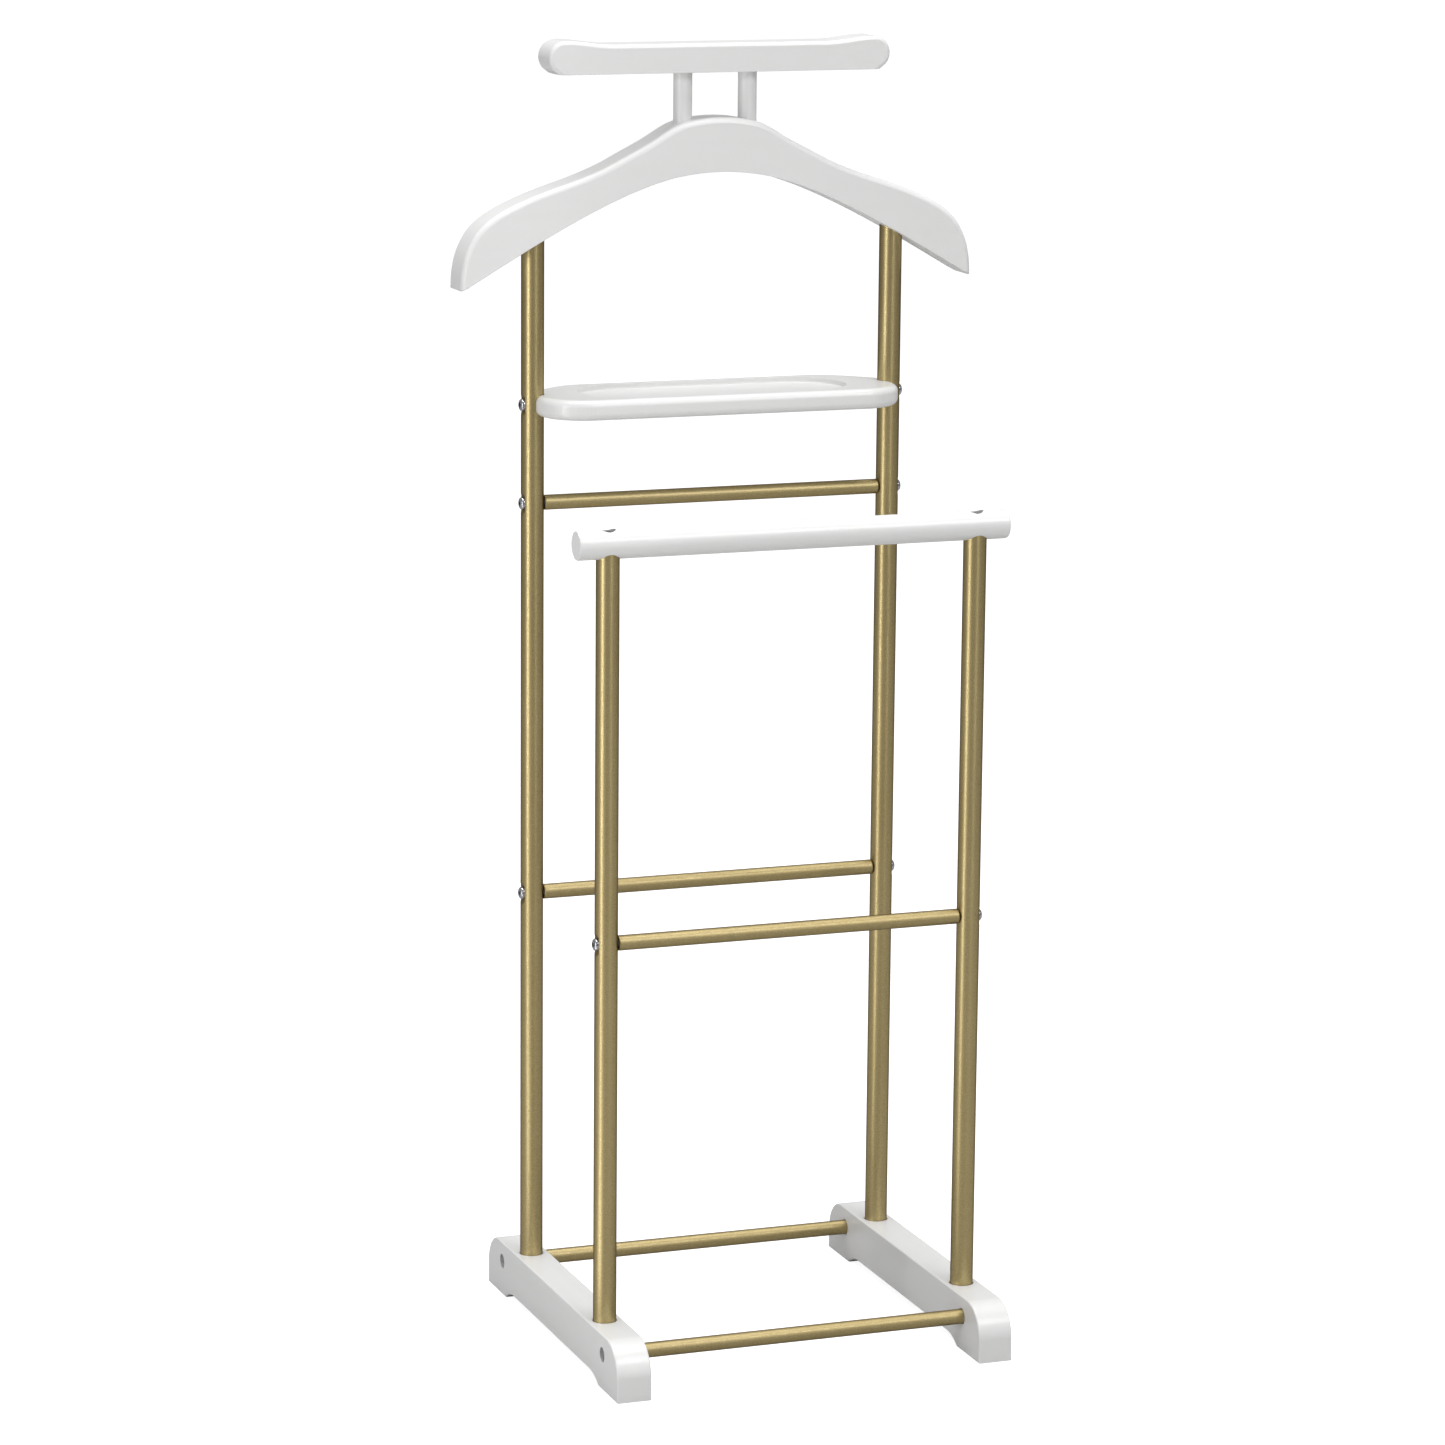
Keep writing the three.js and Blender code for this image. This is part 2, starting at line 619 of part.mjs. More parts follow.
function addTrayFixings() {
  const face = POST_X - POST_RADIUS - THREAD_FIT - FACE_GAP;
  for (const [name, side] of Object.entries(SIDES)) {
    const into = inward(side);
    const start = at(side * face, postY, trayZ);
    addPart(`tray_insert_${name}`, insert(TRAY_INSERT_RADIUS, INSERT_LENGTH, start, into), zinc);
    const seat = at(side * (dentSeat + FACE_GAP), postY, trayZ);
    const length = dentSeat - face + THREAD_HOLD;
    addPart(`tray_screw_${name}`, buttonScrew(seat, into, length), steel);
  }
}

addWood();
addPosts();
addHangerStuds();
addRodScrews();
addTrayFixings();
addCrossbar("rear_upper_crossbar", postY, upperBarZ, barHalfLength, dentSeat);
addCrossbar("rear_lower_crossbar", postY, REAR_LOWER_BAR_Z, barHalfLength, dentSeat);
addCrossbar("front_crossbar", -postY, FRONT_BAR_Z, barHalfLength, dentSeat);
addCrossbar("base_crossbar_rear", baseBarY, baseBarZ, baseBarHalfLength, footScrewSeat);
addCrossbar("base_crossbar_front", -baseBarY, baseBarZ, baseBarHalfLength, footScrewSeat);

export default group;
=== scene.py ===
"""Valet stand: white lacquered wood on a frame of brass-plated tube.

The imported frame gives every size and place. Each board, tube and screw that shows is made again here
with softer edges and finer curves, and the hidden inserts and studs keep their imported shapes.
"""
import math

import bmesh
import bpy
from mathutils import Matrix, Vector


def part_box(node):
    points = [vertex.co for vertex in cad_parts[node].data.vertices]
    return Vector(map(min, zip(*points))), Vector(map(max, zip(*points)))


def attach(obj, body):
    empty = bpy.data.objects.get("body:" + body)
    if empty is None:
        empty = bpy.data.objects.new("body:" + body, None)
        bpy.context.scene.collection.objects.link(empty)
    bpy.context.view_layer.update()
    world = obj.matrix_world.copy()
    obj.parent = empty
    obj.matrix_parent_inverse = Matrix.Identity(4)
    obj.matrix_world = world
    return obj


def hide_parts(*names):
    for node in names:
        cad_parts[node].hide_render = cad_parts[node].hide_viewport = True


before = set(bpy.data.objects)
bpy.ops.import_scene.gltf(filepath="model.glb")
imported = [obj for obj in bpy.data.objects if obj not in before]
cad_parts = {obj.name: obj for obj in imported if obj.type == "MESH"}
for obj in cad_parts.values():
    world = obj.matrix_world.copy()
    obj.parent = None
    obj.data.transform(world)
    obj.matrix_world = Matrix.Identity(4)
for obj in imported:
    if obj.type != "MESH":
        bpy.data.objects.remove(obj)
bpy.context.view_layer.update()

SIDES = {"left": -1, "right": 1}
BARS = ("rear_upper_crossbar", "rear_lower_crossbar", "front_crossbar")
BASE_BARS = ("base_crossbar_rear", "base_crossbar_front")
MM = 0.001
TUBE_WALL = 1.2 * MM
END_GAP = 0.1 * MM  # left between the end of a tube or dowel and the bottom of its hole
HEAD_RISE = 3.3 * MM  # a screw head's height
SEAT_DEPTH = 3.4 * MM  # from the top of a packed screw head down to the seat under it
RECESS_RADIUS = 6.2 * MM  # of the recesses drilled for screw heads
SHANK_HOLE_RADIUS = 3.3 * MM
DRILL_LENGTH = 0.03  # long enough to pass right through the wood
SKY_LIGHT = 0.35  # the sky's brightness as it falls on the stand
FLOOR_GLOW = 0.88  # what the floor adds for the camera alone, so that it looks white


# ---- Working on a mesh by hand ----


def middle(node):
    """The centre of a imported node's box."""
    low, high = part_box(node)
    return (low + high) / 2


def extent(node):
    """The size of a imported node's box."""
    low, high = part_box(node)
    return high - low


def rest_all():
    """Leaves edit mode with nothing selected."""
    if bpy.context.object and bpy.context.object.mode == "EDIT":
        bpy.ops.object.mode_set(mode="OBJECT")
    bpy.ops.object.select_all(action="DESELECT")


def take(piece):
    """Makes a piece the only selected and active one."""
    rest_all()
    piece.select_set(True)
    bpy.context.view_layer.objects.active = piece


def name_new(name):
    """Names the piece that was just added."""
    piece = bpy.context.object
    piece.name = name
    piece.data.name = name
    return piece


def pick(piece, kind, test):
    """Selects the corners, edges or faces that pass a test, in edit mode."""
    bpy.ops.mesh.select_mode(type=kind)
    bpy.ops.mesh.select_all(action="DESELECT")
    mesh = bmesh.from_edit_mesh(piece.data)
    parts = {"VERT": mesh.verts, "EDGE": mesh.edges, "FACE": mesh.faces}[kind]
    for part in parts:
        part.select_set(bool(test(part)))
    mesh.select_flush_mode()
    bmesh.update_edit_mesh(piece.data)


def fix_place(piece):
    """Puts a piece's place, turn and scale into its mesh."""
    take(piece)
    bpy.ops.object.transform_apply(location=True, rotation=True, scale=True)


def apply_modifiers(piece):
    take(piece)
    for modifier in list(piece.modifiers):
        bpy.ops.object.modifier_apply(modifier=modifier.name)


def face_outwards(piece):
    take(piece)
    bpy.ops.object.mode_set(mode="EDIT")
    bpy.ops.mesh.select_all(action="SELECT")
    bpy.ops.mesh.remove_doubles(threshold=1e-6)
    bpy.ops.mesh.normals_make_consistent(inside=False)
    rest_all()


def smooth(piece, angle=35.0):
    """Smooth shading where faces meet gently, with flat faces kept flat."""
    take(piece)
    bpy.ops.object.shade_smooth_by_angle(angle=math.radians(angle), keep_sharp_edges=True)
    weighted = piece.modifiers.new("flat faces stay flat", "WEIGHTED_NORMAL")
    weighted.keep_sharp = True
    weighted.weight = 60
    apply_modifiers(piece)


def copy_of(piece, name):
    """A copy with its own mesh."""
    take(piece)
    bpy.ops.object.duplicate(linked=False)
    return name_new(name)


def cut(piece, *cutters):
    """Cuts holes with solids that are then thrown away."""
    for cutter in cutters:
        take(piece)
        hole = piece.modifiers.new("hole", "BOOLEAN")
        hole.operation = "DIFFERENCE"
        hole.solver = "EXACT"
        hole.object = cutter
        bpy.ops.object.modifier_apply(modifier=hole.name)
        take(cutter)
        bpy.ops.object.delete()
    take(piece)


def finish_piece(piece, slot, material, *nodes):
    """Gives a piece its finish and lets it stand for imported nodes."""
    piece.data.materials.clear()
    piece.data.materials.append(material)
    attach(piece, "root")
    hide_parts(*nodes)


def paint_recess_shade(piece, material, inside):
    """Gives the faces inside a drilled recess a darker grey, painted shade for the shade that falls in the
    recess.
    """
    take(piece)
    if len(piece.data.materials) == 1:
        piece.data.materials.append(material)
    bpy.ops.object.mode_set(mode="EDIT")
    pick(piece, "FACE", inside)
    piece.active_material_index = 1
    bpy.ops.object.material_slot_assign()
    rest_all()


# ---- Boards sawn to an outline ----


def drawn_board(name, stations, thickness):
    """A board drawn out station by station along X, then given its thickness along Y.

    A station is (place along X, lower edge, upper edge) in metres.
    """
    rest_all()
    y = -thickness / 2
    bpy.ops.mesh.primitive_plane_add(size=1.0, rotation=(math.pi / 2, 0, 0))
    piece = name_new(name)
    fix_place(piece)
    bpy.ops.object.mode_set(mode="EDIT")
    for side, (u, low, high) in ((-1, stations[0]), (1, stations[1])):
        pick(piece, "VERT", lambda v: v.co.x * side > 0)
        bpy.ops.transform.resize(value=(1, 1, high - low), center_override=(0, 0, 0))
        bpy.ops.transform.translate(value=(u - side * 0.5, y, (high + low) / 2))
    pick(piece, "EDGE", lambda e: all(abs(v.co.x - stations[1][0]) < 1e-5 for v in e.verts))
    here, low_here, high_here = stations[1]
    for u, low, high in stations[2:]:
        half = (high_here + low_here) / 2
        bpy.ops.mesh.extrude_region_move(TRANSFORM_OT_translate={"value": (u - here, 0, 0)})
        share = (high - low) / (high_here - low_here)
        bpy.ops.transform.resize(value=(1, 1, share), center_override=(u, y, half))
        bpy.ops.transform.translate(value=(0, 0, (high + low) / 2 - half))
        here, low_here, high_here = u, low, high
    bpy.ops.mesh.select_all(action="SELECT")
    bpy.ops.mesh.extrude_region_move(TRANSFORM_OT_translate={"value": (0, thickness, 0)})
    bpy.ops.mesh.select_all(action="SELECT")
    bpy.ops.mesh.normals_make_consistent(inside=False)
    for side in (-1, 1):
        pick(piece, "FACE", lambda f: f.normal.y * side > 0.99)
        bpy.ops.mesh.dissolve_faces()
    rest_all()
    return piece


def round_edges(piece, width, segments):
    """Rounds the outline's edges on both faces of a board."""
    take(piece)
    bpy.ops.object.mode_set(mode="EDIT")
    faces = max(abs(v.co.y) for v in piece.data.vertices)

    def on_face(edge):
        a, b = edge.verts
        return abs(abs(a.co.y) - faces) < 1e-5 and abs(a.co.y - b.co.y) < 1e-5

    pick(piece, "EDGE", on_face)
    bpy.ops.transform.edge_bevelweight(value=1.0)
    rest_all()
    bevel = piece.modifiers.new("rounded edges", "BEVEL")
    bevel.limit_method = "WEIGHT"
    bevel.width = width
    bevel.segments = segments
    bevel.use_clamp_overlap = False
    apply_modifiers(piece)


def spline(points, steps):
    """Points of a smooth curve through the given ones."""
    made = []
    count = len(points)
    for i in range(count - 1):
        a, b = points[max(i - 1, 0)], points[i]
        c, d = points[i + 1], points[min(i + 2, count - 1)]
        for k in range(steps):
            t = k / steps
            made.append(tuple(
                0.5 * (2 * b[j] + (c[j] - a[j]) * t + (2 * a[j] - 5 * b[j] + 4 * c[j] - d[j]) * t * t
                       + (3 * b[j] - a[j] - 3 * c[j] + d[j]) * t ** 3)
                for j in (0, 1)))
    made.append(tuple(points[-1]))
    return made


def height_on(curve, u):
    """The height of a curve, given as points from left to right, at u."""
    for (u0, v0), (u1, v1) in zip(curve, curve[1:]):
        if u0 <= u <= u1 and u1 > u0:
            return v0 + (v1 - v0) * (u - u0) / (u1 - u0)
    return curve[0][1] if u < curve[0][0] else curve[-1][1]


def evenly_spaced(curve, gap, end_gap):
    """Points spaced by length along a curve, with more room beside its two ends."""
    lengths = [0.0]
    for (u0, v0), (u1, v1) in zip(curve, curve[1:]):
        lengths.append(lengths[-1] + math.hypot(u1 - u0, v1 - v0))
    inner = lengths[-1] - 2 * end_gap
    count = round(inner / gap)
    marks = [0.0] + [end_gap + inner * k / count for k in range(count + 1)] + [lengths[-1]]
    made = []
    k = 0
    for mark in marks:
        while k < len(lengths) - 2 and lengths[k + 1] < mark:
            k += 1
        t = (mark - lengths[k]) / max(lengths[k + 1] - lengths[k], 1e-9)
        made.append(tuple(curve[k][j] + (curve[k + 1][j] - curve[k][j]) * t for j in (0, 1)))
    return made


def sawn_board(name, upper, lower, thickness):
    """A board sawn to an outline drawn point by point; both edges run from left to right."""
    rest_all()
    bpy.ops.mesh.primitive_plane_add(size=1.0)
    piece = name_new(name)
    bpy.ops.object.mode_set(mode="EDIT")
    bpy.ops.mesh.select_mode(type="VERT")
    bpy.ops.mesh.select_all(action="SELECT")
    bpy.ops.mesh.merge(type="CENTER")
    outline = list(upper) + list(reversed(lower))[1:-1] + [upper[0]]
    here = outline[0]
    bpy.ops.transform.translate(value=(here[0], -thickness / 2, here[1]))
    for point in outline[1:]:
        step = (point[0] - here[0], 0, point[1] - here[1])
        bpy.ops.mesh.extrude_region_move(TRANSFORM_OT_translate={"value": step})
        here = point
    bpy.ops.mesh.select_all(action="SELECT")
    bpy.ops.mesh.remove_doubles(threshold=1e-6)
    bpy.ops.mesh.edge_face_add()
    bpy.ops.mesh.extrude_region_move(TRANSFORM_OT_translate={"value": (0, thickness, 0)})
    bpy.ops.mesh.select_all(action="SELECT")
    bpy.ops.mesh.normals_make_consistent(inside=False)
    rest_all()
    return piece


def round_over(piece, upper, width):
    """Rounds both faces' edges along the upper outline, as a router run from corner to corner does."""
    take(piece)
    face = max(abs(v.co.y) for v in piece.data.vertices)

    def meets(spot, points):
        return any(abs(spot.x - u) < 0.01 * MM and abs(spot.z - v) < 0.01 * MM for u, v in points)

    def along(edge):
        a, b = (v.co for v in edge.verts)
        if abs(abs(a.y) - face) > 1e-5 or abs(a.y - b.y) > 1e-5:
            return False
        base = meets(a, (upper[0], upper[-1])) and meets(b, (upper[0], upper[-1]))
        return not base and meets(a, upper) and meets(b, upper)

    bpy.ops.object.mode_set(mode="EDIT")
    pick(piece, "EDGE", along)
    bpy.ops.mesh.bevel(offset=width, segments=8, profile=0.41, affect="EDGES", clamp_overlap=False)
    rest_all()


def round_tips(piece, width):
    """Rounds the far lower corners from front to back, leaving the edges along the two faces."""
    take(piece)
    far = max(v.co.x for v in piece.data.vertices)
    base = min(v.co.z for v in piece.data.vertices)
    face = max(v.co.y for v in piece.data.vertices)
    bpy.ops.object.mode_set(mode="EDIT")

    def at_tip(edge):
        if len(edge.link_faces) != 2 or edge.calc_face_angle(0) < math.radians(25):
            return False
        a, b = (v.co for v in edge.verts)
        if abs(abs(a.y) - face) < 1e-5 and abs(abs(b.y) - face) < 1e-5:
            return False
        return all(abs(p.x) > far - 8 * MM and p.z < base + 8 * MM for p in (a, b))

    pick(piece, "EDGE", at_tip)
    bpy.ops.mesh.bevel(offset=width, segments=6, profile=0.5, affect="EDGES", clamp_overlap=False)
    rest_all()


def ease_sharp_edges(piece, width):
    """Takes the sharpness off the edges that are left."""
    ease = piece.modifiers.new("eased edges", "BEVEL")
    ease.limit_method = "ANGLE"
    ease.angle_limit = math.radians(40)
    ease.width = width
    ease.segments = 2
    ease.use_clamp_overlap = False
    apply_modifiers(piece)


def mirrored(half):
    """A half outline from the middle outwards, made whole from left to right."""
    return [(-u, v) for u, v in reversed(half) if u > 0] + list(half)


def cutter(name, radius, length, foot, direction, flare=0.0, sides=64):
    """A round cutting solid from foot along a direction.

    With a flare, its far end widens on both sides of the given length, where the wood's face is.
    """
    rest_all()
    depth = length / 2
    bpy.ops.mesh.primitive_cylinder_add(
        vertices=sides, radius=radius, depth=length, location=(0, 0, depth))
    piece = name_new(name)
    fix_place(piece)
    if flare:
        bpy.ops.object.mode_set(mode="EDIT")
        pick(piece, "FACE", lambda f: f.normal.z > 0.99)
        bpy.ops.transform.translate(value=(0, 0, -flare))
        wide = (radius + 2 * flare) / radius
        bpy.ops.mesh.extrude_region_move(TRANSFORM_OT_translate={"value": (0, 0, 2 * flare)})
        bpy.ops.transform.resize(value=(wide, wide, 1), center_override=(0, 0, length + flare))
        rest_all()
    turn = Vector((0, 0, 1)).rotation_difference(Vector(direction))
    piece.rotation_mode = "QUATERNION"
    piece.rotation_quaternion = turn
    piece.location = foot
    fix_place(piece)
    return piece


def end_hole(node, end, room, length, flare=0.0, sides=64):
    """A cutter for a standing tube or dowel, from just past its top or bottom end back along it."""
    low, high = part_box(node)
    axis = middle(node)
    direction = (0, 0, -1) if end == "top" else (0, 0, 1)
    level = high.z + END_GAP if end == "top" else low.z - END_GAP
    radius = extent(node).y / 2 + room
    return cutter(f"hole for {node}", radius, length, (axis.x, axis.y, level), direction, flare, sides)


def screw_holes(seat, outward, depth=DRILL_LENGTH, flare=0.0):
    """Cutters for the recess over a screw's head and for its shank, which overlap by 1 mm."""
    seat, outward = Vector(seat), Vector(outward)
    recess = cutter("screw recess", RECESS_RADIUS, depth, seat, outward, flare)
    shank = cutter("screw hole", SHANK_HOLE_RADIUS, DRILL_LENGTH, seat + outward * MM, -outward, sides=32)
    return [recess, shank]


# ---- The wooden pieces ----

# The hanger's edges, as (share of the half width, share of the rise from the tips).
HANGER_TOP = [
    (0, 1), (0.085, 0.99), (0.17, 0.955), (0.27, 0.862), (0.36, 0.787), (0.445, 0.717), (0.55, 0.65),
    (0.66, 0.592), (0.76, 0.532), (0.86, 0.454), (0.93, 0.365), (0.975, 0.245), (0.995, 0.12), (1, 0),
]
HANGER_UNDER = [(0, 1), (0.17, 0.96), (0.33, 0.845), (0.5, 0.668), (0.68, 0.445), (0.84, 0.226), (1, 0)]
ARCH_SHARE = 92.4 / 136.9  # the arch's rise beneath, as a share of the crest's
DOWEL_ROOM = 0.15 * MM  # left round a dowel in its hole


def hanger_outline():
    """The hanger's upper and lower edges, from left to right."""
    low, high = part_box("hanger")
    half, tip, rise = high.x, low.z, high.z - low.z
    top = mirrored([(u * half, tip + v * rise) for u, v in HANGER_TOP])
    under = mirrored([(u * half, tip + v * rise * ARCH_SHARE) for u, v in HANGER_UNDER])
    return spline(top, 24), spline(under, 24)


def hanger_board():
    top, under = hanger_outline()
    upper = evenly_spaced(top, 3.0 * MM, 5 * MM)
    lower = evenly_spaced(under, 4.5 * MM, 8 * MM)
    piece = sawn_board("hanger_board", upper, lower, extent("hanger").y)
    round_over(piece, upper, 4.6 * MM)
    round_tips(piece, 1.8 * MM)
    ease_sharp_edges(piece, 0.7 * MM)
    piece.location.y = middle("hanger").y
    fix_place(piece)
    holes = []
    for side in SIDES:
        holes.append(end_hole(f"rear_post_{side}", "top", 0.4 * MM, 0.06))
        holes.append(end_hole(f"top_bar_dowel_{side}", "bottom", DOWEL_ROOM, 0.05))
    cut(piece, *holes)
    smooth(piece)
    return piece


def top_bar_outline():
    """The bar's two edges: all the way round over the raised noses, and the straight base."""
    low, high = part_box("top_bar")
    half, base, top = high.x, low.z, high.z
    nose, dip, slope = 14 * MM, 3.6 * MM, 42 * MM
    centre, centre_z = half - nose, top - nose
    corner = centre + 5 * MM
    turn = 0.70  # radians under level where the nose turns into a straight corner
    sunk = centre - slope
    half_line = [(k * sunk / 8, top - dip) for k in range(8)]
    for k in range(14):
        t = k / 14
        half_line.append((sunk + t * slope, top - dip * (1 - t * t * (3 - 2 * t))))
    steps = 22
    for k in range(steps + 1):
        angle = math.pi / 2 - (math.pi / 2 + turn) * k / steps
        half_line.append((centre + nose * math.cos(angle), centre_z + nose * math.sin(angle)))
    half_line.append((corner, base))
    return mirrored(half_line), [(-corner, base), (corner, base)]


def top_bar_board():
    upper, lower = top_bar_outline()
    piece = sawn_board("top_bar_board", upper, lower, extent("top_bar").y)
    round_over(piece, upper, 3.2 * MM)
    ease_sharp_edges(piece, 0.6 * MM)
    piece.location.y = middle("top_bar").y
    fix_place(piece)
    cut(piece, *[end_hole(f"top_bar_dowel_{side}", "top", DOWEL_ROOM, DRILL_LENGTH) for side in SIDES])
    smooth(piece)
    return piece


def dowel_peg(side):
    node = f"top_bar_dowel_{side}"
    rest_all()
    size = extent(node)
    bpy.ops.mesh.primitive_cylinder_add(
        vertices=72, radius=size.y / 2, depth=size.z, location=middle(node))
    piece = name_new(f"{node}_peg")
    fix_place(piece)
    ends = piece.modifiers.new("eased ends", "BEVEL")
    ends.width = 0.8 * MM
    ends.segments = 3
    apply_modifiers(piece)
    smooth(piece)
    return piece


def tray_stations():
    """The tray's outline seen from above: round corners in front, long sweeping shoulders behind."""
    low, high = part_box("tray")
    end = middle("rear_post_right").x
    deep = (high.y - low.y) / 2
    flat_end = 16 * MM
    corner = 38 * MM
    shoulder = end - 58 * MM
    arc = math.acos(1 - (deep - flat_end) / corner)
    arc_x = end - corner * math.sin(arc)
    sweep = (end - 11.6 * MM, flat_end + 0.25 * (deep - flat_end))
    control = [(shoulder, deep), (end - 29 * MM, deep), sweep, (end, flat_end)]
    rear = []
    for k in range(41):
        t = k / 40
        shares = ((1 - t) ** 3, 3 * t * (1 - t) ** 2, 3 * t * t * (1 - t), t ** 3)
        rear.append(tuple(sum(s * p[j] for s, p in zip(shares, control)) for j in (0, 1)))

    def front(u):
        if u <= arc_x:
            return -deep
        return corner - deep - math.sqrt(max(corner * corner - (u - arc_x) ** 2, 0))

    half_places = {0.0, shoulder / 2, shoulder, end}
    half_places |= {u for u, v in rear[::2]}
    half_places |= {arc_x + corner * math.sin(arc * k / 16) for k in range(17)}
    outline = []
    for u in sorted(half_places):
        if not outline or u - outline[-1][0] > 0.2 * MM:
            back = deep if u <= shoulder else height_on(rear, u)
            outline.append((u, front(u), back))
    return [(-u, a, b) for u, a, b in reversed(outline) if u > 0] + outline


def recess_plan():
    """The tray's recess: the radius of its ends, and how far from the middle its straight sides run."""
    radius = extent("tray").y / 2 - 11 * MM
    return radius, middle("rear_post_right").x - 41.3 * MM - radius


def recess_cutter():
    """A stadium-shaped solid for the tray's recess, its lower edge rounded."""
    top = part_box("tray")[1].z
    radius, straight = recess_plan()
    depth, tall, sides = 4.6 * MM, 0.03, 128
    rest_all()
    bpy.ops.mesh.primitive_cylinder_add(
        vertices=sides, radius=radius, depth=tall, rotation=(0, 0, math.pi / sides))
    piece = name_new("recess")
    fix_place(piece)
    bpy.ops.object.mode_set(mode="EDIT")
    for side in (-1, 1):
        pick(piece, "VERT", lambda v: v.co.x * side > 0 and abs(v.co.x) < radius * 1.01)
        bpy.ops.transform.translate(value=(side * straight, 0, 0))
    pick(piece, "EDGE", lambda e: all(v.co.z < 0 for v in e.verts))
    bpy.ops.mesh.bevel(offset=1.8 * MM, segments=5, profile=0.5, affect="EDGES")
    rest_all()
    piece.location = (0, middle("tray").y, top - depth + tall / 2)
    fix_place(piece)
    return piece


def tray_board():
    size = extent("tray")
    piece = drawn_board("tray_board", tray_stations(), size.z)
    round_edges(piece, 5.8 * MM, 8)
    piece.rotation_euler.x = -math.pi / 2
    piece.location = middle("tray")
    fix_place(piece)
    holes = [recess_cutter()]
    for side in SIDES:
        post = f"rear_post_{side}"
        foot = (middle(post).x, middle(post).y, middle("tray").z - size.z)
        radius = extent(post).y / 2 + 0.3 * MM
        holes.append(cutter("post notch", radius, 2 * size.z, foot, (0, 0, 1), sides=96))
    cut(piece, *holes)
    ease_recess_rim(piece)
    smooth(piece)
    return piece


def ease_recess_rim(piece):
    """Breaks the sharp rim where the recess meets the tray's top."""
    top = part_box("tray")[1].z
    centre_y = middle("tray").y
    radius, straight = recess_plan()

    def on_rim(edge):
        for corner in edge.verts:
            beyond = max(abs(corner.co.x) - straight, 0)
            away = math.hypot(beyond, corner.co.y - centre_y)
            if abs(away - radius) > 0.2 * MM or abs(corner.co.z - top) > 0.01 * MM:
                return False
        return True

    take(piece)
    bpy.ops.object.mode_set(mode="EDIT")
    pick(piece, "EDGE", on_rim)
    bpy.ops.mesh.bevel(offset=0.5 * MM, segments=2, affect="EDGES", clamp_overlap=True)
    rest_all()


def rod_turned():
    size = extent("trouser_rod")
    centre = middle("trouser_rod")
    radius = size.y / 2
    rest_all()
    bpy.ops.mesh.primitive_cylinder_add(vertices=128, radius=radius, depth=size.x)
    piece = name_new("trouser_rod_turned")
    piece.rotation_euler.y = math.pi / 2
    piece.location = centre
    fix_place(piece)
    ends = piece.modifiers.new("turned ends", "BEVEL")
    ends.limit_method = "ANGLE"
    ends.width = 1.7 * MM
    ends.segments = 2
    apply_modifiers(piece)
    holes = []
    for side in SIDES:
        post = f"front_post_{side}"
        axis = middle(post)
        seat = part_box(f"trouser_rod_screw_{side}")[1].z - SEAT_DEPTH
        holes.append(end_hole(post, "top", 0.2 * MM, 0.05, sides=96))
        holes += screw_holes((axis.x, axis.y, seat), (0, 0, 1))
    cut(piece, *holes)
    smooth(piece)
    return piece


def foot_stations(node):
    """A foot's outline seen from the side: round upper ends, and a middle raised off the floor."""
    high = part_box(node)[1]
    half, tall = high.y, high.z
    end_round, relief, relief_round, pad = 28 * MM, 7.3 * MM, 41 * MM, 48 * MM
    pad_end = half - pad
    arc = math.acos(1 - relief / relief_round)
    flat = pad_end - relief_round * math.sin(arc)

    def above(u):
        past = u - (half - end_round)
        return tall if past <= 0 else tall - end_round + math.sqrt(max(end_round ** 2 - past ** 2, 0))

    def below(u):
        if u <= flat:
            return relief
        if u >= pad_end:
            return 0.0
        return relief - relief_round + math.sqrt(relief_round ** 2 - (u - flat) ** 2)

    places = {0.0, flat / 2, half - end_round}
    places |= {flat + relief_round * math.sin(arc * k / 12) for k in range(13)}
    places |= {half - end_round + end_round * math.sin(math.radians(a)) for a in range(4, 91, 4)}
    places |= {half}
    outline = []
    for u in sorted(places):
        if not outline or u - outline[-1][0] > 0.04 * MM:
            outline.append((u, below(u), above(u)))
    return [(-u, a, b) for u, a, b in reversed(outline) if u > 0] + outline


def foot_block(side):
    node = f"foot_{side}"
    sign = SIDES[side]
    size = extent(node)
    piece = drawn_board(f"{node}_block", foot_stations(node), size.x)
    round_edges(piece, 1.3 * MM, 4)
    piece.rotation_euler.z = math.pi / 2
    piece.location.x = middle(node).x
    fix_place(piece)
    low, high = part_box(node)
    inner, outer = sorted((abs(low.x), abs(high.x)))
    holes = []
    for row in ("rear", "front"):
        post = f"{row}_post_{side}"
        axis = middle(post)
        depth = high.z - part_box(post)[0].z
        holes.append(end_hole(post, "bottom", 0.4 * MM, depth, 0.35 * MM, 96))
        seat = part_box(f"{row}_post_bolt_{side}")[0].z + SEAT_DEPTH
        holes += screw_holes((axis.x, axis.y, seat), (0, 0, -1))
    for bar in BASE_BARS:
        axis = middle(bar)
        reach = extent(bar).x / 2 + END_GAP
        foot = (sign * reach, axis.y, axis.z)
        radius = extent(bar).y / 2 + 0.35 * MM
        holes.append(cutter("bar hole", radius, reach - inner, foot, (-sign, 0, 0), 0.3 * MM))
        seat = screw_seat(bar, side)
        holes += screw_holes((sign * seat, axis.y, axis.z), (sign, 0, 0), outer - seat, 0.35 * MM)
    cut(piece, *holes)
    smooth(piece)
    return piece


# ---- Tubes ----


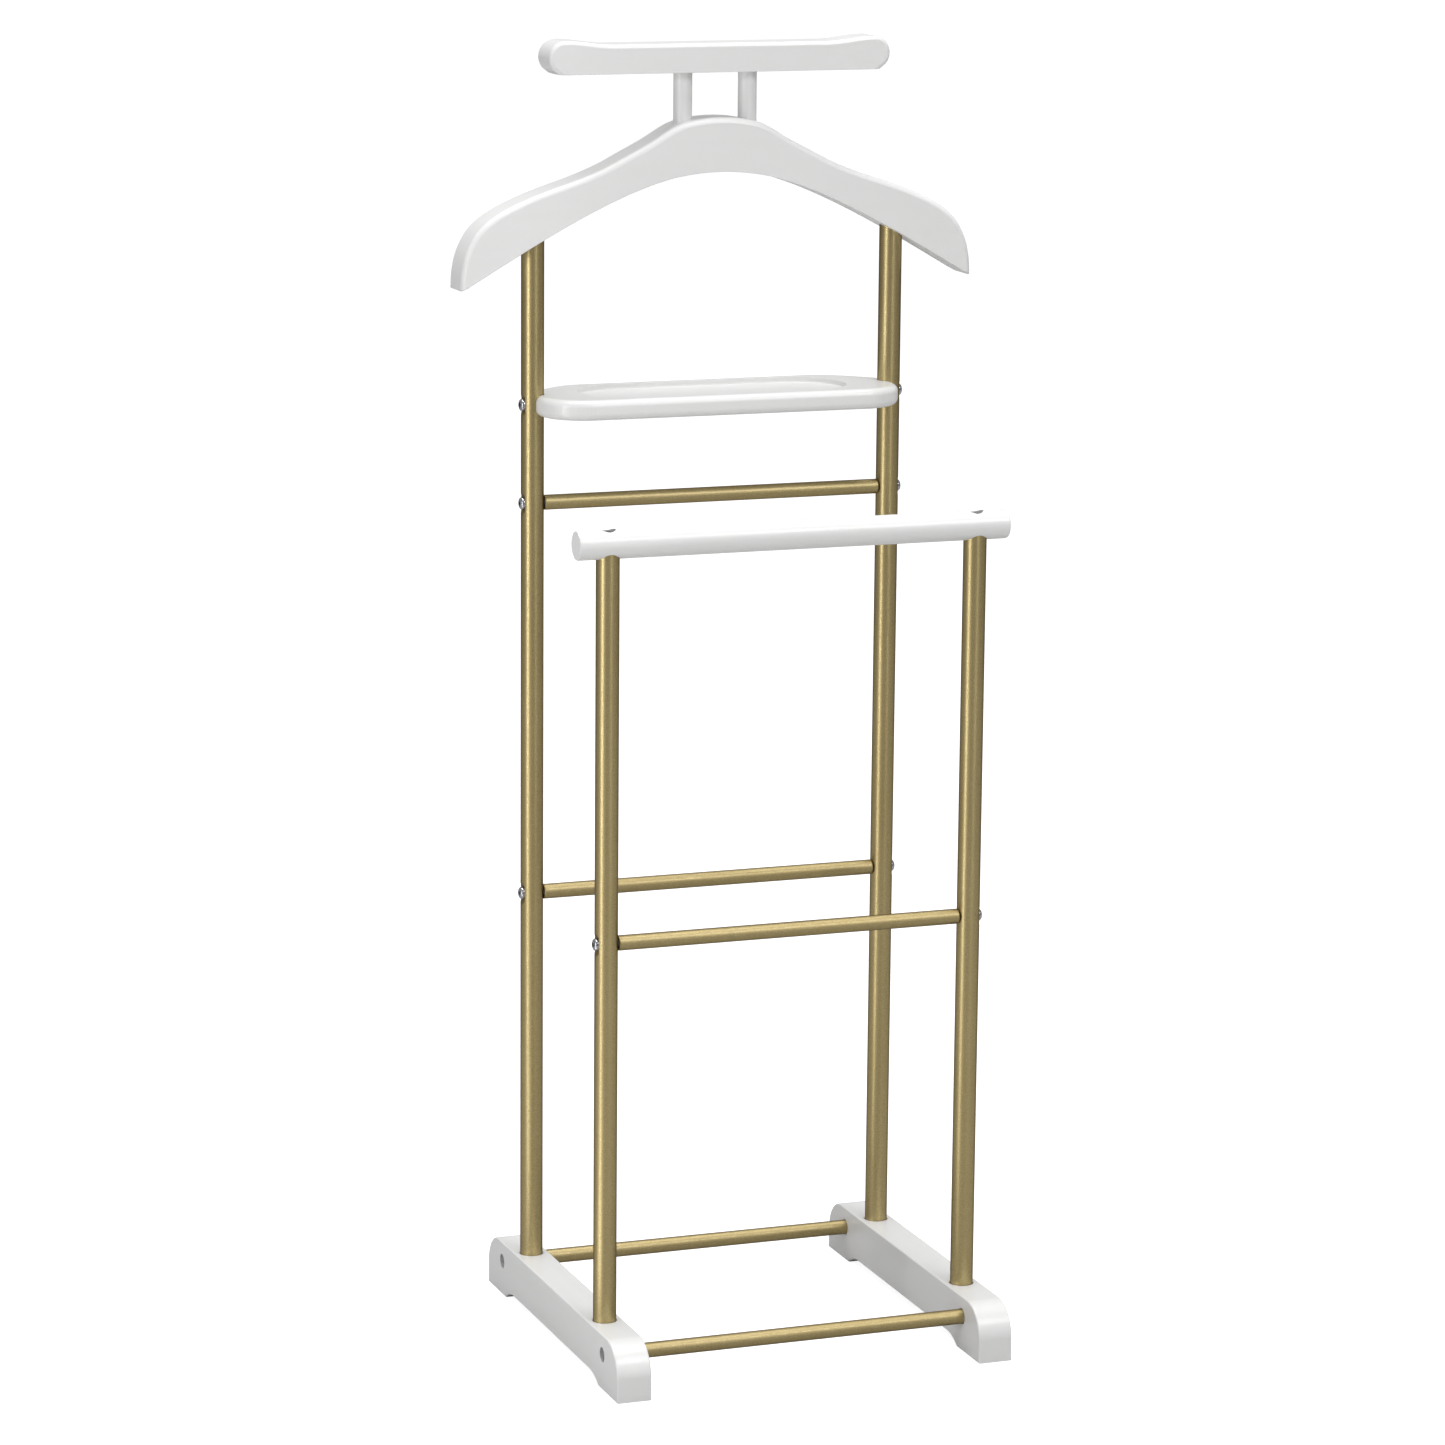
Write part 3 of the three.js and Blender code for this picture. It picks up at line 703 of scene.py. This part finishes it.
def drawn_tube(name, radius, stations, sides=96):
    """An open round tube drawn upwards ring by ring; a station is (height, radius)."""
    rest_all()
    bpy.ops.mesh.primitive_circle_add(vertices=sides, radius=radius, fill_type="NOTHING")
    piece = name_new(name)
    bpy.ops.object.mode_set(mode="EDIT")
    bpy.ops.mesh.select_mode(type="EDGE")
    bpy.ops.mesh.select_all(action="SELECT")
    height, width = stations[0]
    bpy.ops.transform.resize(value=(width / radius, width / radius, 1), center_override=(0, 0, 0))
    bpy.ops.transform.translate(value=(0, 0, height))
    for level, next_width in stations[1:]:
        bpy.ops.mesh.extrude_region_move(TRANSFORM_OT_translate={"value": (0, 0, level - height)})
        if abs(next_width - width) > 1e-7:
            share = next_width / width
            bpy.ops.transform.resize(value=(share, share, 1), center_override=(0, 0, level))
        height, width = level, next_width
    bpy.ops.mesh.select_all(action="SELECT")
    bpy.ops.mesh.normals_make_consistent(inside=False)
    rest_all()
    return piece


def give_wall(piece):
    shell = piece.modifiers.new("tube wall", "SOLIDIFY")
    shell.thickness = TUBE_WALL
    shell.offset = -1
    shell.use_even_offset = False
    apply_modifiers(piece)


# A post's wall is pressed flat under each screw head. From the screw along the post, the dent is flat, then
# rises steeply to a low shoulder, then fades out.
DENT_FLAT, DENT_STEEP, DENT_END = 5.6 * MM, 9.5 * MM, 17 * MM
DENT_SHOULDER = 0.12  # the shoulder's depth, as a share of the dent's
DENT_RINGS = [away * MM for away in (0, 2, 4, 5.6, 6.1, 6.6, 7.2, 8, 9, 10, 13, 17)]


def fade(share):
    """Falls smoothly from 1 to 0 as the share grows from 0 to 1."""
    return (1 + math.cos(math.pi * share)) / 2


def press_share(away):
    """How much of a dent's depth is left at a distance from its screw along the post."""
    if away < DENT_FLAT:
        return 1.0
    if away < DENT_STEEP:
        steep = fade((away - DENT_FLAT) / (DENT_STEEP - DENT_FLAT))
        return DENT_SHOULDER + (1 - DENT_SHOULDER) * steep
    if away < DENT_END:
        return DENT_SHOULDER * fade((away - DENT_STEEP) / (DENT_END - DENT_STEEP))
    return 0.0


def post_tube(row, side):
    """A post, its wall pressed flat under every screw head on its outer side."""
    node = f"{row}_post_{side}"
    low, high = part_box(node)
    centre = middle(node)
    radius = extent(node).y / 2
    sign = SIDES[side]
    held = {"front": ("front_crossbar",), "rear": ("rear_lower_crossbar", "rear_upper_crossbar", "tray")}[row]
    dents = [middle(f"{fixed}_screw_{side}").z for fixed in held]
    depth = radius - (screw_seat(held[0], side) - abs(centre.x))
    steps = sorted({-away for away in DENT_RINGS} | set(DENT_RINGS))
    levels = [low.z, high.z] + [dent + step for dent in dents for step in steps]
    piece = drawn_tube(f"{node}_tube", radius, [(z, radius) for z in sorted(levels)])
    take(piece)
    bpy.ops.object.mode_set(mode="EDIT")
    for dent in dents:
        for step in steps:
            share = press_share(abs(step))
            level, limit = dent + step, radius - depth * share
            if share <= 0:
                continue
            pick(piece, "VERT", lambda v: abs(v.co.z - level) < 1e-5 and v.co.x * sign > limit)
            bpy.ops.transform.resize(value=(0, 1, 1), center_override=(sign * limit, 0, level))
    rest_all()
    give_wall(piece)
    piece.location = (centre.x, centre.y, 0)
    fix_place(piece)
    smooth(piece, 30)
    return piece


def screw_seat(bar, side):
    """How far from the middle of the stand a sideways screw's head rests."""
    low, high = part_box(f"{bar}_screw_{side}")
    return max(abs(low.x), abs(high.x)) - SEAT_DEPTH


def bar_tube(node):
    """A crossbar of plain tube with eased ends."""
    centre, radius = middle(node), extent(node).y / 2
    half = extent(node).x / 2
    ease = 0.9 * MM
    rings = [(0.0, radius - ease), (0.12 * MM, radius - 0.55 * ease),
             (0.38 * MM, radius - 0.22 * ease), (ease, radius)]
    stations = [(u - half, r) for u, r in rings] + [(half - u, r) for u, r in reversed(rings)]
    piece = drawn_tube(f"{node}_tube", radius, stations, 72)
    give_wall(piece)
    piece.rotation_euler.y = math.pi / 2
    piece.location = centre
    fix_place(piece)
    smooth(piece, 30)
    return piece


# ---- Screws ----


MASTER_SHANK = 10 * MM  # the shank's length on the screw that all the others are copied from


def button_screw():
    """A button-head screw pointing down from its seat at the origin, with a hex socket."""
    rest_all()
    head, shank, skirt = 5.25 * MM, 3 * MM, 0.6 * MM
    seat = head * 0.975
    rings = [(0.0, seat), (0.12 * MM, head), (skirt, head * 0.995)]
    for k in range(1, 9):
        turn = math.radians(90 * k / 9)
        level = skirt + (HEAD_RISE - skirt) * math.sin(turn)
        rings.append((level, head * (0.5 + 0.495 * math.cos(turn))))
    piece = drawn_tube("button_screw", head, rings, 48)
    take(piece)
    bpy.ops.object.mode_set(mode="EDIT")
    top = max(z for z, r in rings)
    pick(piece, "EDGE", lambda e: all(abs(v.co.z - top) < 1e-6 for v in e.verts))
    bpy.ops.mesh.edge_face_add()
    pick(piece, "EDGE", lambda e: all(abs(v.co.z) < 1e-6 for v in e.verts))
    bpy.ops.mesh.extrude_region_move(TRANSFORM_OT_translate={"value": (0, 0, 0)})
    inward = shank / seat
    bpy.ops.transform.resize(value=(inward, inward, 1), center_override=(0, 0, 0))
    bpy.ops.mesh.extrude_region_move(TRANSFORM_OT_translate={"value": (0, 0, -MASTER_SHANK)})
    bpy.ops.mesh.edge_face_add()
    rest_all()
    face_outwards(piece)
    socket = cutter("hex socket", 2.35 * MM, 0.01, (0, 0, HEAD_RISE - 1.9 * MM), (0, 0, 1), sides=6)
    cut(piece, socket)
    return piece


def place_screw(master, node, direction, seat):
    """A copy of the screw, seated and turned to point along the direction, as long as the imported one."""
    piece = copy_of(master, f"{node}_button")
    length = max(extent(node)) - HEAD_RISE
    bpy.ops.object.mode_set(mode="EDIT")
    pick(piece, "VERT", lambda v: v.co.z < -MASTER_SHANK / 2)
    bpy.ops.transform.translate(value=(0, 0, MASTER_SHANK - length))
    rest_all()
    piece.rotation_mode = "QUATERNION"
    piece.rotation_quaternion = Vector((0, 0, -1)).rotation_difference(Vector(direction))
    piece.location = seat
    fix_place(piece)
    smooth(piece, 30)
    return piece


def all_screws():
    """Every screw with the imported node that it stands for."""
    master = button_screw()
    made = []
    for side, sign in SIDES.items():
        for holder in (*BARS, *BASE_BARS, "tray"):
            node = f"{holder}_screw_{side}"
            centre = middle(node)
            seat = (sign * screw_seat(holder, side), centre.y, centre.z)
            made.append((place_screw(master, node, (-sign, 0, 0), seat), node))
        node = f"trouser_rod_screw_{side}"
        centre = middle(node)
        seat = (centre.x, centre.y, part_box(node)[1].z - HEAD_RISE)
        made.append((place_screw(master, node, (0, 0, -1), seat), node))
        for row in ("rear", "front"):
            node = f"{row}_post_bolt_{side}"
            centre = middle(node)
            seat = (centre.x, centre.y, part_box(node)[0].z + HEAD_RISE)
            made.append((place_screw(master, node, (0, 0, 1), seat), node))
    take(master)
    bpy.ops.object.delete()
    return made


# ---- Finishes ----

# How the streaks' noise is stretched to run along each way.
ALONG = {"X": (0.06, 1.0, 1.0), "Y": (1.0, 0.06, 1.0), "Z": (1.0, 1.0, 0.06)}


def new_group(name, inputs, outputs):
    """A shader group with named sockets; returns it with its input and output nodes."""
    group = bpy.data.node_groups.new(name, "ShaderNodeTree")
    for label, kind, value in inputs:
        socket = group.interface.new_socket(label, in_out="INPUT", socket_type=kind)
        if value is not None:
            socket.default_value = value
    for label, kind in outputs:
        group.interface.new_socket(label, in_out="OUTPUT", socket_type=kind)
    return group, group.nodes.new("NodeGroupInput"), group.nodes.new("NodeGroupOutput")


def noise_in(tree, vector, scale, detail, roughness=0.55):
    node = tree.nodes.new("ShaderNodeTexNoise")
    tree.links.new(vector, node.inputs["Vector"])
    if isinstance(scale, (int, float)):
        node.inputs["Scale"].default_value = scale
    else:
        tree.links.new(scale, node.inputs["Scale"])
    node.inputs["Detail"].default_value = detail
    node.inputs["Roughness"].default_value = roughness
    return node.outputs["Fac"]


def remap(tree, value, low, high, to_low, to_high):
    node = tree.nodes.new("ShaderNodeMapRange")
    for label, number in (("From Min", low), ("From Max", high), ("To Min", to_low), ("To Max", to_high)):
        node.inputs[label].default_value = number
    tree.links.new(value, node.inputs["Value"])
    return node.outputs["Result"]


def maths(tree, operation, a, b):
    node = tree.nodes.new("ShaderNodeMath")
    node.operation = operation
    for socket, value in zip(node.inputs, (a, b)):
        if isinstance(value, (int, float)):
            socket.default_value = value
        else:
            tree.links.new(value, socket)
    return node.outputs["Value"]


def blend_colours(tree, factor, first, second):
    node = tree.nodes.new("ShaderNodeMix")
    node.data_type = "RGBA"
    tree.links.new(factor, node.inputs["Factor"])
    for label, colour in (("A", first), ("B", second)):
        socket = next(s for s in node.inputs if s.name == label and s.type == "RGBA")
        if isinstance(colour, tuple):
            socket.default_value = colour
        else:
            tree.links.new(colour, socket)
    return next(s for s in node.outputs if s.type == "RGBA")


def streaks_group():
    """Fine lines drawn out along one way, as fibres under paint or brushing on metal leave."""
    group, start, end = new_group(
        "drawn out streaks",
        [("Stretch", "NodeSocketVector", (1, 1, 1)), ("Scale", "NodeSocketFloat", 200.0)],
        [("Streaks", "NodeSocketFloat"), ("Broad", "NodeSocketFloat")],
    )
    place = group.nodes.new("ShaderNodeTexCoord")
    stretch = group.nodes.new("ShaderNodeMapping")
    group.links.new(place.outputs["Object"], stretch.inputs["Vector"])
    group.links.new(start.outputs["Stretch"], stretch.inputs["Scale"])
    fine = noise_in(group, stretch.outputs["Vector"], start.outputs["Scale"], 4.0)
    fifth = maths(group, "MULTIPLY", start.outputs["Scale"], 0.2)
    broad = noise_in(group, stretch.outputs["Vector"], fifth, 3.0)
    group.links.new(fine, end.inputs["Streaks"])
    group.links.new(broad, end.inputs["Broad"])
    return group


def speckle_group():
    """Even fine grain and slow clouding over a surface."""
    group, start, end = new_group(
        "speckle and clouding",
        [("Grain size", "NodeSocketFloat", 900.0), ("Cloud size", "NodeSocketFloat", 9.0)],
        [("Grain", "NodeSocketFloat"), ("Clouds", "NodeSocketFloat")],
    )
    place = group.nodes.new("ShaderNodeTexCoord")
    grain = noise_in(group, place.outputs["Object"], start.outputs["Grain size"], 2.0)
    clouds = noise_in(group, place.outputs["Object"], start.outputs["Cloud size"], 3.0)
    group.links.new(grain, end.inputs["Grain"])
    group.links.new(clouds, end.inputs["Clouds"])
    return group


def use_group(tree, group, **values):
    node = tree.nodes.new("ShaderNodeGroup")
    node.node_tree = group
    for label, value in values.items():
        node.inputs[label.replace("_", " ")].default_value = value
    return node


def bump(tree, height, distance, strength=1.0, normal=None):
    node = tree.nodes.new("ShaderNodeBump")
    node.inputs["Distance"].default_value = distance
    node.inputs["Strength"].default_value = strength
    tree.links.new(height, node.inputs["Height"])
    if normal is not None:
        tree.links.new(normal, node.inputs["Normal"])
    return node.outputs["Normal"]


def new_finish(name):
    material = bpy.data.materials.new(name)
    material.use_nodes = True
    tree = material.node_tree
    return material, tree, tree.nodes["Principled BSDF"]


def white_lacquer(streaks, speckle, way):
    """Sprayed satin lacquer over sanded wood, with the fibres just showing along one way."""
    material, tree, skin = new_finish(f"white satin lacquer, grain along {way}")
    fibres = use_group(tree, streaks, Stretch=ALONG[way], Scale=420.0)
    spray = use_group(tree, speckle, Grain_size=750.0, Cloud_size=7.0)
    thin = maths(tree, "MULTIPLY", fibres.outputs["Broad"], spray.outputs["Clouds"])
    colour = blend_colours(
        tree, remap(tree, thin, 0.12, 0.42, 0, 1), (0.80, 0.80, 0.795, 1), (0.78, 0.781, 0.775, 1))
    tree.links.new(colour, skin.inputs["Base Color"])
    clouds = maths(tree, "MULTIPLY", spray.outputs["Clouds"], 0.5)
    dull = maths(tree, "ADD", clouds, fibres.outputs["Streaks"])
    tree.links.new(remap(tree, dull, 0.4, 1.1, 0.30, 0.44), skin.inputs["Roughness"])
    peel = bump(tree, spray.outputs["Grain"], 0.00004, 0.5)
    tree.links.new(bump(tree, fibres.outputs["Streaks"], 0.00004, 0.12, peel), skin.inputs["Normal"])
    skin.inputs["Coat Weight"].default_value = 0.3
    skin.inputs["Coat Roughness"].default_value = 0.12
    return material


def recess_painted_shade(speckle):
    """A darker grey put into the screw recesses: painted shade for the shade inside them."""
    material, tree, skin = new_finish("grey painted shade in the recesses")
    spray = use_group(tree, speckle, Grain_size=900.0, Cloud_size=120.0)
    clouds = remap(tree, spray.outputs["Clouds"], 0.3, 0.7, 0, 1)
    colour = blend_colours(tree, clouds, (0.54, 0.54, 0.54, 1), (0.45, 0.45, 0.45, 1))
    tree.links.new(colour, skin.inputs["Base Color"])
    tree.links.new(remap(tree, spray.outputs["Grain"], 0.35, 0.65, 0.45, 0.65), skin.inputs["Roughness"])
    tree.links.new(bump(tree, spray.outputs["Grain"], 0.00006, 0.6), skin.inputs["Normal"])
    return material


def plated_brass(streaks, speckle, way, smoothest, roughest, shade, sandiness):
    """Brass plating on steel tube: satin, brushed along the tube, with a sandy grain.

    The colour is multiplied by shade, which is painted shade: the crossbars are given a darker one than the
    posts for the dimmer light they take. Sandiness is the strength of the grain's bump.
    """
    material, tree, skin = new_finish(f"satin brass plating, brushed along {way}")
    brushing = use_group(tree, streaks, Stretch=ALONG[way], Scale=900.0)
    sand = use_group(tree, speckle, Grain_size=1050.0, Cloud_size=14.0)
    bright = (0.61 * shade, 0.494 * shade, 0.238 * shade, 1)
    deep = (0.57 * shade, 0.457 * shade, 0.213 * shade, 1)
    base = blend_colours(tree, remap(tree, sand.outputs["Clouds"], 0.3, 0.7, 0, 1), bright, deep)
    lines = maths(tree, "ADD", maths(tree, "MULTIPLY", brushing.outputs["Streaks"], 0.05),
                  maths(tree, "MULTIPLY", sand.outputs["Grain"], 0.95))
    worn = blend_colours(tree, remap(tree, lines, 0.36, 0.62, 0, 0.6), base, (0.36, 0.275, 0.112, 1))
    # Painted shade: the colour darkens to a deep brown towards the tube's edges, where they turn away from
    # the camera, standing in for the dark reflections there.
    edge = tree.nodes.new("ShaderNodeLayerWeight")
    edge.inputs["Blend"].default_value = 0.5
    painted_dark_rim = remap(tree, edge.outputs["Facing"], 0.45, 0.95, 0, 1)
    tree.links.new(blend_colours(tree, painted_dark_rim, worn, (0.13, 0.088, 0.036, 1)), skin.inputs["Base Color"])
    tree.links.new(remap(tree, lines, 0.35, 0.65, smoothest, roughest), skin.inputs["Roughness"])
    sandy = bump(tree, sand.outputs["Grain"], 0.00005, sandiness)
    tree.links.new(bump(tree, brushing.outputs["Streaks"], 0.00002, 0.06, sandy), skin.inputs["Normal"])
    skin.inputs["Metallic"].default_value = 1.0
    skin.inputs["Specular Tint"].default_value = (0.30, 0.20, 0.09, 1)
    skin.inputs["Coat Weight"].default_value = 0.5
    skin.inputs["Coat Roughness"].default_value = 0.30
    return material


def bright_steel(speckle):
    """Bright plated screws, faintly marked."""
    material, tree, skin = new_finish("bright plated steel")
    marks = use_group(tree, speckle, Grain_size=1800.0, Cloud_size=300.0)
    clouds = remap(tree, marks.outputs["Clouds"], 0.3, 0.7, 0, 1)
    colour = blend_colours(tree, clouds, (0.56, 0.57, 0.59, 1), (0.36, 0.37, 0.39, 1))
    tree.links.new(colour, skin.inputs["Base Color"])
    tree.links.new(remap(tree, marks.outputs["Grain"], 0.35, 0.65, 0.10, 0.20), skin.inputs["Roughness"])
    tree.links.new(bump(tree, marks.outputs["Grain"], 0.00002, 0.2), skin.inputs["Normal"])
    skin.inputs["Metallic"].default_value = 1.0
    return material


def dull_zinc(streaks, speckle):
    """Zinc-plated inserts and studs, cloudy and dull."""
    material, tree, skin = new_finish("dull zinc plating")
    marks = use_group(tree, speckle, Grain_size=1200.0, Cloud_size=180.0)
    turning = use_group(tree, streaks, Stretch=(1.0, 1.0, 1.0), Scale=1400.0)
    clouds = remap(tree, marks.outputs["Clouds"], 0.3, 0.7, 0, 1)
    colour = blend_colours(tree, clouds, (0.42, 0.43, 0.44, 1), (0.30, 0.31, 0.31, 1))
    tree.links.new(colour, skin.inputs["Base Color"])
    tree.links.new(remap(tree, turning.outputs["Streaks"], 0.35, 0.65, 0.40, 0.58), skin.inputs["Roughness"])
    tree.links.new(bump(tree, marks.outputs["Grain"], 0.00003, 0.4), skin.inputs["Normal"])
    skin.inputs["Metallic"].default_value = 1.0
    return material


# ---- Making the stand ----


def in_recess(axis, way, floor):
    """A test for the faces of a recess that is drilled along X (way 0) or Z (way 2) down to a floor."""
    across = [other for other in range(3) if other != way]

    def inside(face):
        spot = face.calc_center_median()
        away = math.hypot(*(spot[other] - axis[other] for other in across))
        return abs(spot[way]) > floor - 0.2 * MM and away < RECESS_RADIUS + 0.1 * MM

    return inside


# Painted shade: the faces inside the rod's screw recesses get a darker grey for the shade in them.
def shade_rod_recesses(rod, recess_shade):
    for side in SIDES:
        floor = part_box(f"trouser_rod_screw_{side}")[1].z - SEAT_DEPTH
        paint_recess_shade(rod, recess_shade, in_recess(middle(f"front_post_{side}"), 2, floor))


# Painted shade: the faces inside the feet's screw recesses get a darker grey for the shade in them.
def shade_foot_recesses(foot, side, recess_shade):
    for bar in BASE_BARS:
        paint_recess_shade(foot, recess_shade, in_recess(middle(bar), 0, screw_seat(bar, side)))


def make_wood(white, recess_shade):
    finish_piece(top_bar_board(), "lacquer", white["X"], "top_bar")
    finish_piece(hanger_board(), "lacquer", white["X"], "hanger")
    finish_piece(tray_board(), "lacquer", white["X"], "tray")
    rod = rod_turned()
    finish_piece(rod, "lacquer", white["X"], "trouser_rod")
    # Painted shade: a darker grey inside the rod's screw recesses.
    shade_rod_recesses(rod, recess_shade)
    for side in SIDES:
        finish_piece(dowel_peg(side), "lacquer", white["Z"], f"top_bar_dowel_{side}")
        foot = foot_block(side)
        finish_piece(foot, "lacquer", white["Y"], f"foot_{side}")
        # Painted shade: a darker grey inside the feet's screw recesses.
        shade_foot_recesses(foot, side, recess_shade)


def make_tubes(brass):
    for side in SIDES:
        for row in ("rear", "front"):
            finish_piece(post_tube(row, side), "brass", brass["Z"], f"{row}_post_{side}")
    for node in (*BARS, *BASE_BARS):
        finish_piece(bar_tube(node), "brass", brass["X"], node)


def make_screws(steel):
    for piece, node in all_screws():
        finish_piece(piece, "steel", steel, node)


def finish_hidden(zinc):
    """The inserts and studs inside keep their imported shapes."""
    for name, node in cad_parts.items():
        if "insert" in name or "stud" in name:
            node.data.materials.clear()
            node.data.materials.append(zinc)


def make_floor():
    """A pale floor that looks white to the camera but sends less light back up at the stand."""
    rest_all()
    bpy.ops.mesh.primitive_plane_add(size=120.0, location=(0, 0, 0))
    floor = name_new("studio_floor")
    material, tree, skin = new_finish("pale studio floor")
    place = tree.nodes.new("ShaderNodeTexCoord")
    shade = remap(tree, noise_in(tree, place.outputs["Object"], 0.8, 3.0), 0.3, 0.7, 0.0, 1.0)
    colour = blend_colours(tree, shade, (0.43, 0.43, 0.43, 1), (0.42, 0.42, 0.42, 1))
    tree.links.new(colour, skin.inputs["Base Color"])
    skin.inputs["Roughness"].default_value = 1.0
    skin.inputs["Specular IOR Level"].default_value = 0.0
    skin.inputs["Emission Color"].default_value = (1, 1, 1, 1)
    ray = tree.nodes.new("ShaderNodeLightPath")
    glow = remap(tree, ray.outputs["Is Camera Ray"], 0, 1, 0.0, FLOOR_GLOW)
    tree.links.new(glow, skin.inputs["Emission Strength"])
    floor.data.materials.append(material)


def area_light(name, place, size, power):
    """A soft rectangular light that the camera doesn't see."""
    rest_all()
    bpy.ops.object.light_add(type="AREA", location=place)
    light = bpy.context.object
    light.name = name
    light.data.shape = "RECTANGLE"
    light.data.size, light.data.size_y = size
    light.data.energy = power
    light.visible_camera = False
    return light


def soft_light(name, place, target, size, power):
    """An area light aimed at a target."""
    light = area_light(name, place, size, power)
    light.rotation_mode = "QUATERNION"
    light.rotation_quaternion = (Vector(target) - Vector(place)).to_track_quat("-Z", "Y")


def floor_panel(name, place, azimuth, size, power):
    """A light lying on the floor and shining up, its length running out from the stand."""
    light = area_light(name, place, size, power)
    light.rotation_euler = (math.pi, 0, math.radians(azimuth - 90))


def around(azimuth, distance, height):
    """A place round the stand: azimuth 0 is in front, and positive turns to the right."""
    turn = math.radians(azimuth)
    return (math.sin(turn) * distance, -math.cos(turn) * distance, height)


def make_light():
    """A plain studio: a white sky, an overhead softbox, a front one, and narrow strips for the tubes."""
    scene = bpy.context.scene
    world = bpy.data.worlds.new("plain studio")
    scene.world = world
    world.use_nodes = True
    tree = world.node_tree
    sky = tree.nodes["Background"]
    sky.inputs["Color"].default_value = (1, 1, 1, 1)
    ray = tree.nodes.new("ShaderNodeLightPath")
    tree.links.new(remap(tree, ray.outputs["Is Camera Ray"], 0, 1, SKY_LIGHT, 1.0), sky.inputs["Strength"])
    soft_light("overhead softbox", (0.0, 0.3, 6.0), (0, 0, 0), (4.6, 4.6), 308)
    soft_light("front softbox", around(24, 2.8, 2.7), (0, 0, 1.0), (1.5, 1.2), 35)
    soft_light("left strip", around(-67, 1.6, 0.75), (0, 0, 0.75), (0.31, 1.5), 7.6)
    floor_panel("left floor strip", around(-67, 0.95, 0.003), -67, (1.1, 0.2), 1.5)
    soft_light("right strip", around(15, 2.6, 0.85), (0, 0, 0.85), (0.16, 1.7), 3.2)
    scene.view_settings.view_transform = "Standard"


def make_camera():
    """A long lens, a little above the stand and to the left of its front, with a slight roll."""
    turn, rise, roll = (math.radians(angle) for angle in (-20.195, 11.552, 0.503))
    back = Vector((math.sin(turn) * math.cos(rise), -math.cos(turn) * math.cos(rise), math.sin(rise)))
    level = Vector((math.cos(turn), math.sin(turn), 0))
    upright = back.cross(level)
    right = level * math.cos(roll) + upright * math.sin(roll)
    up = upright * math.cos(roll) - level * math.sin(roll)
    rest_all()
    bpy.ops.object.camera_add()
    camera = bpy.context.object
    camera.name = "studio_camera"
    axes = Matrix((right, up, back)).transposed().to_4x4()
    axes.translation = Vector((-1.473254, -3.939821, 1.373798))
    camera.matrix_world = axes
    camera.data.sensor_width = 36.0
    camera.data.lens = 129.82
    camera.data.clip_start, camera.data.clip_end = 0.05, 300.0
    bpy.context.scene.camera = camera


def make_stand():
    streaks, speckle = streaks_group(), speckle_group()
    make_wood({way: white_lacquer(streaks, speckle, way) for way in ALONG}, recess_painted_shade(speckle))
    # Painted shade: the crossbars' plating is darker than the posts' (shade 0.78 against 0.90) for the dimmer
    # light they take.
    make_tubes({
        "X": plated_brass(
            streaks, speckle, "X", smoothest=0.42, roughest=0.56, shade=0.78, sandiness=0.9),
        "Z": plated_brass(
            streaks, speckle, "Z", smoothest=0.33, roughest=0.42, shade=0.90, sandiness=0.42),
    })
    make_screws(bright_steel(speckle))
    finish_hidden(dull_zinc(streaks, speckle))


make_stand()
make_floor()
make_light()
make_camera()
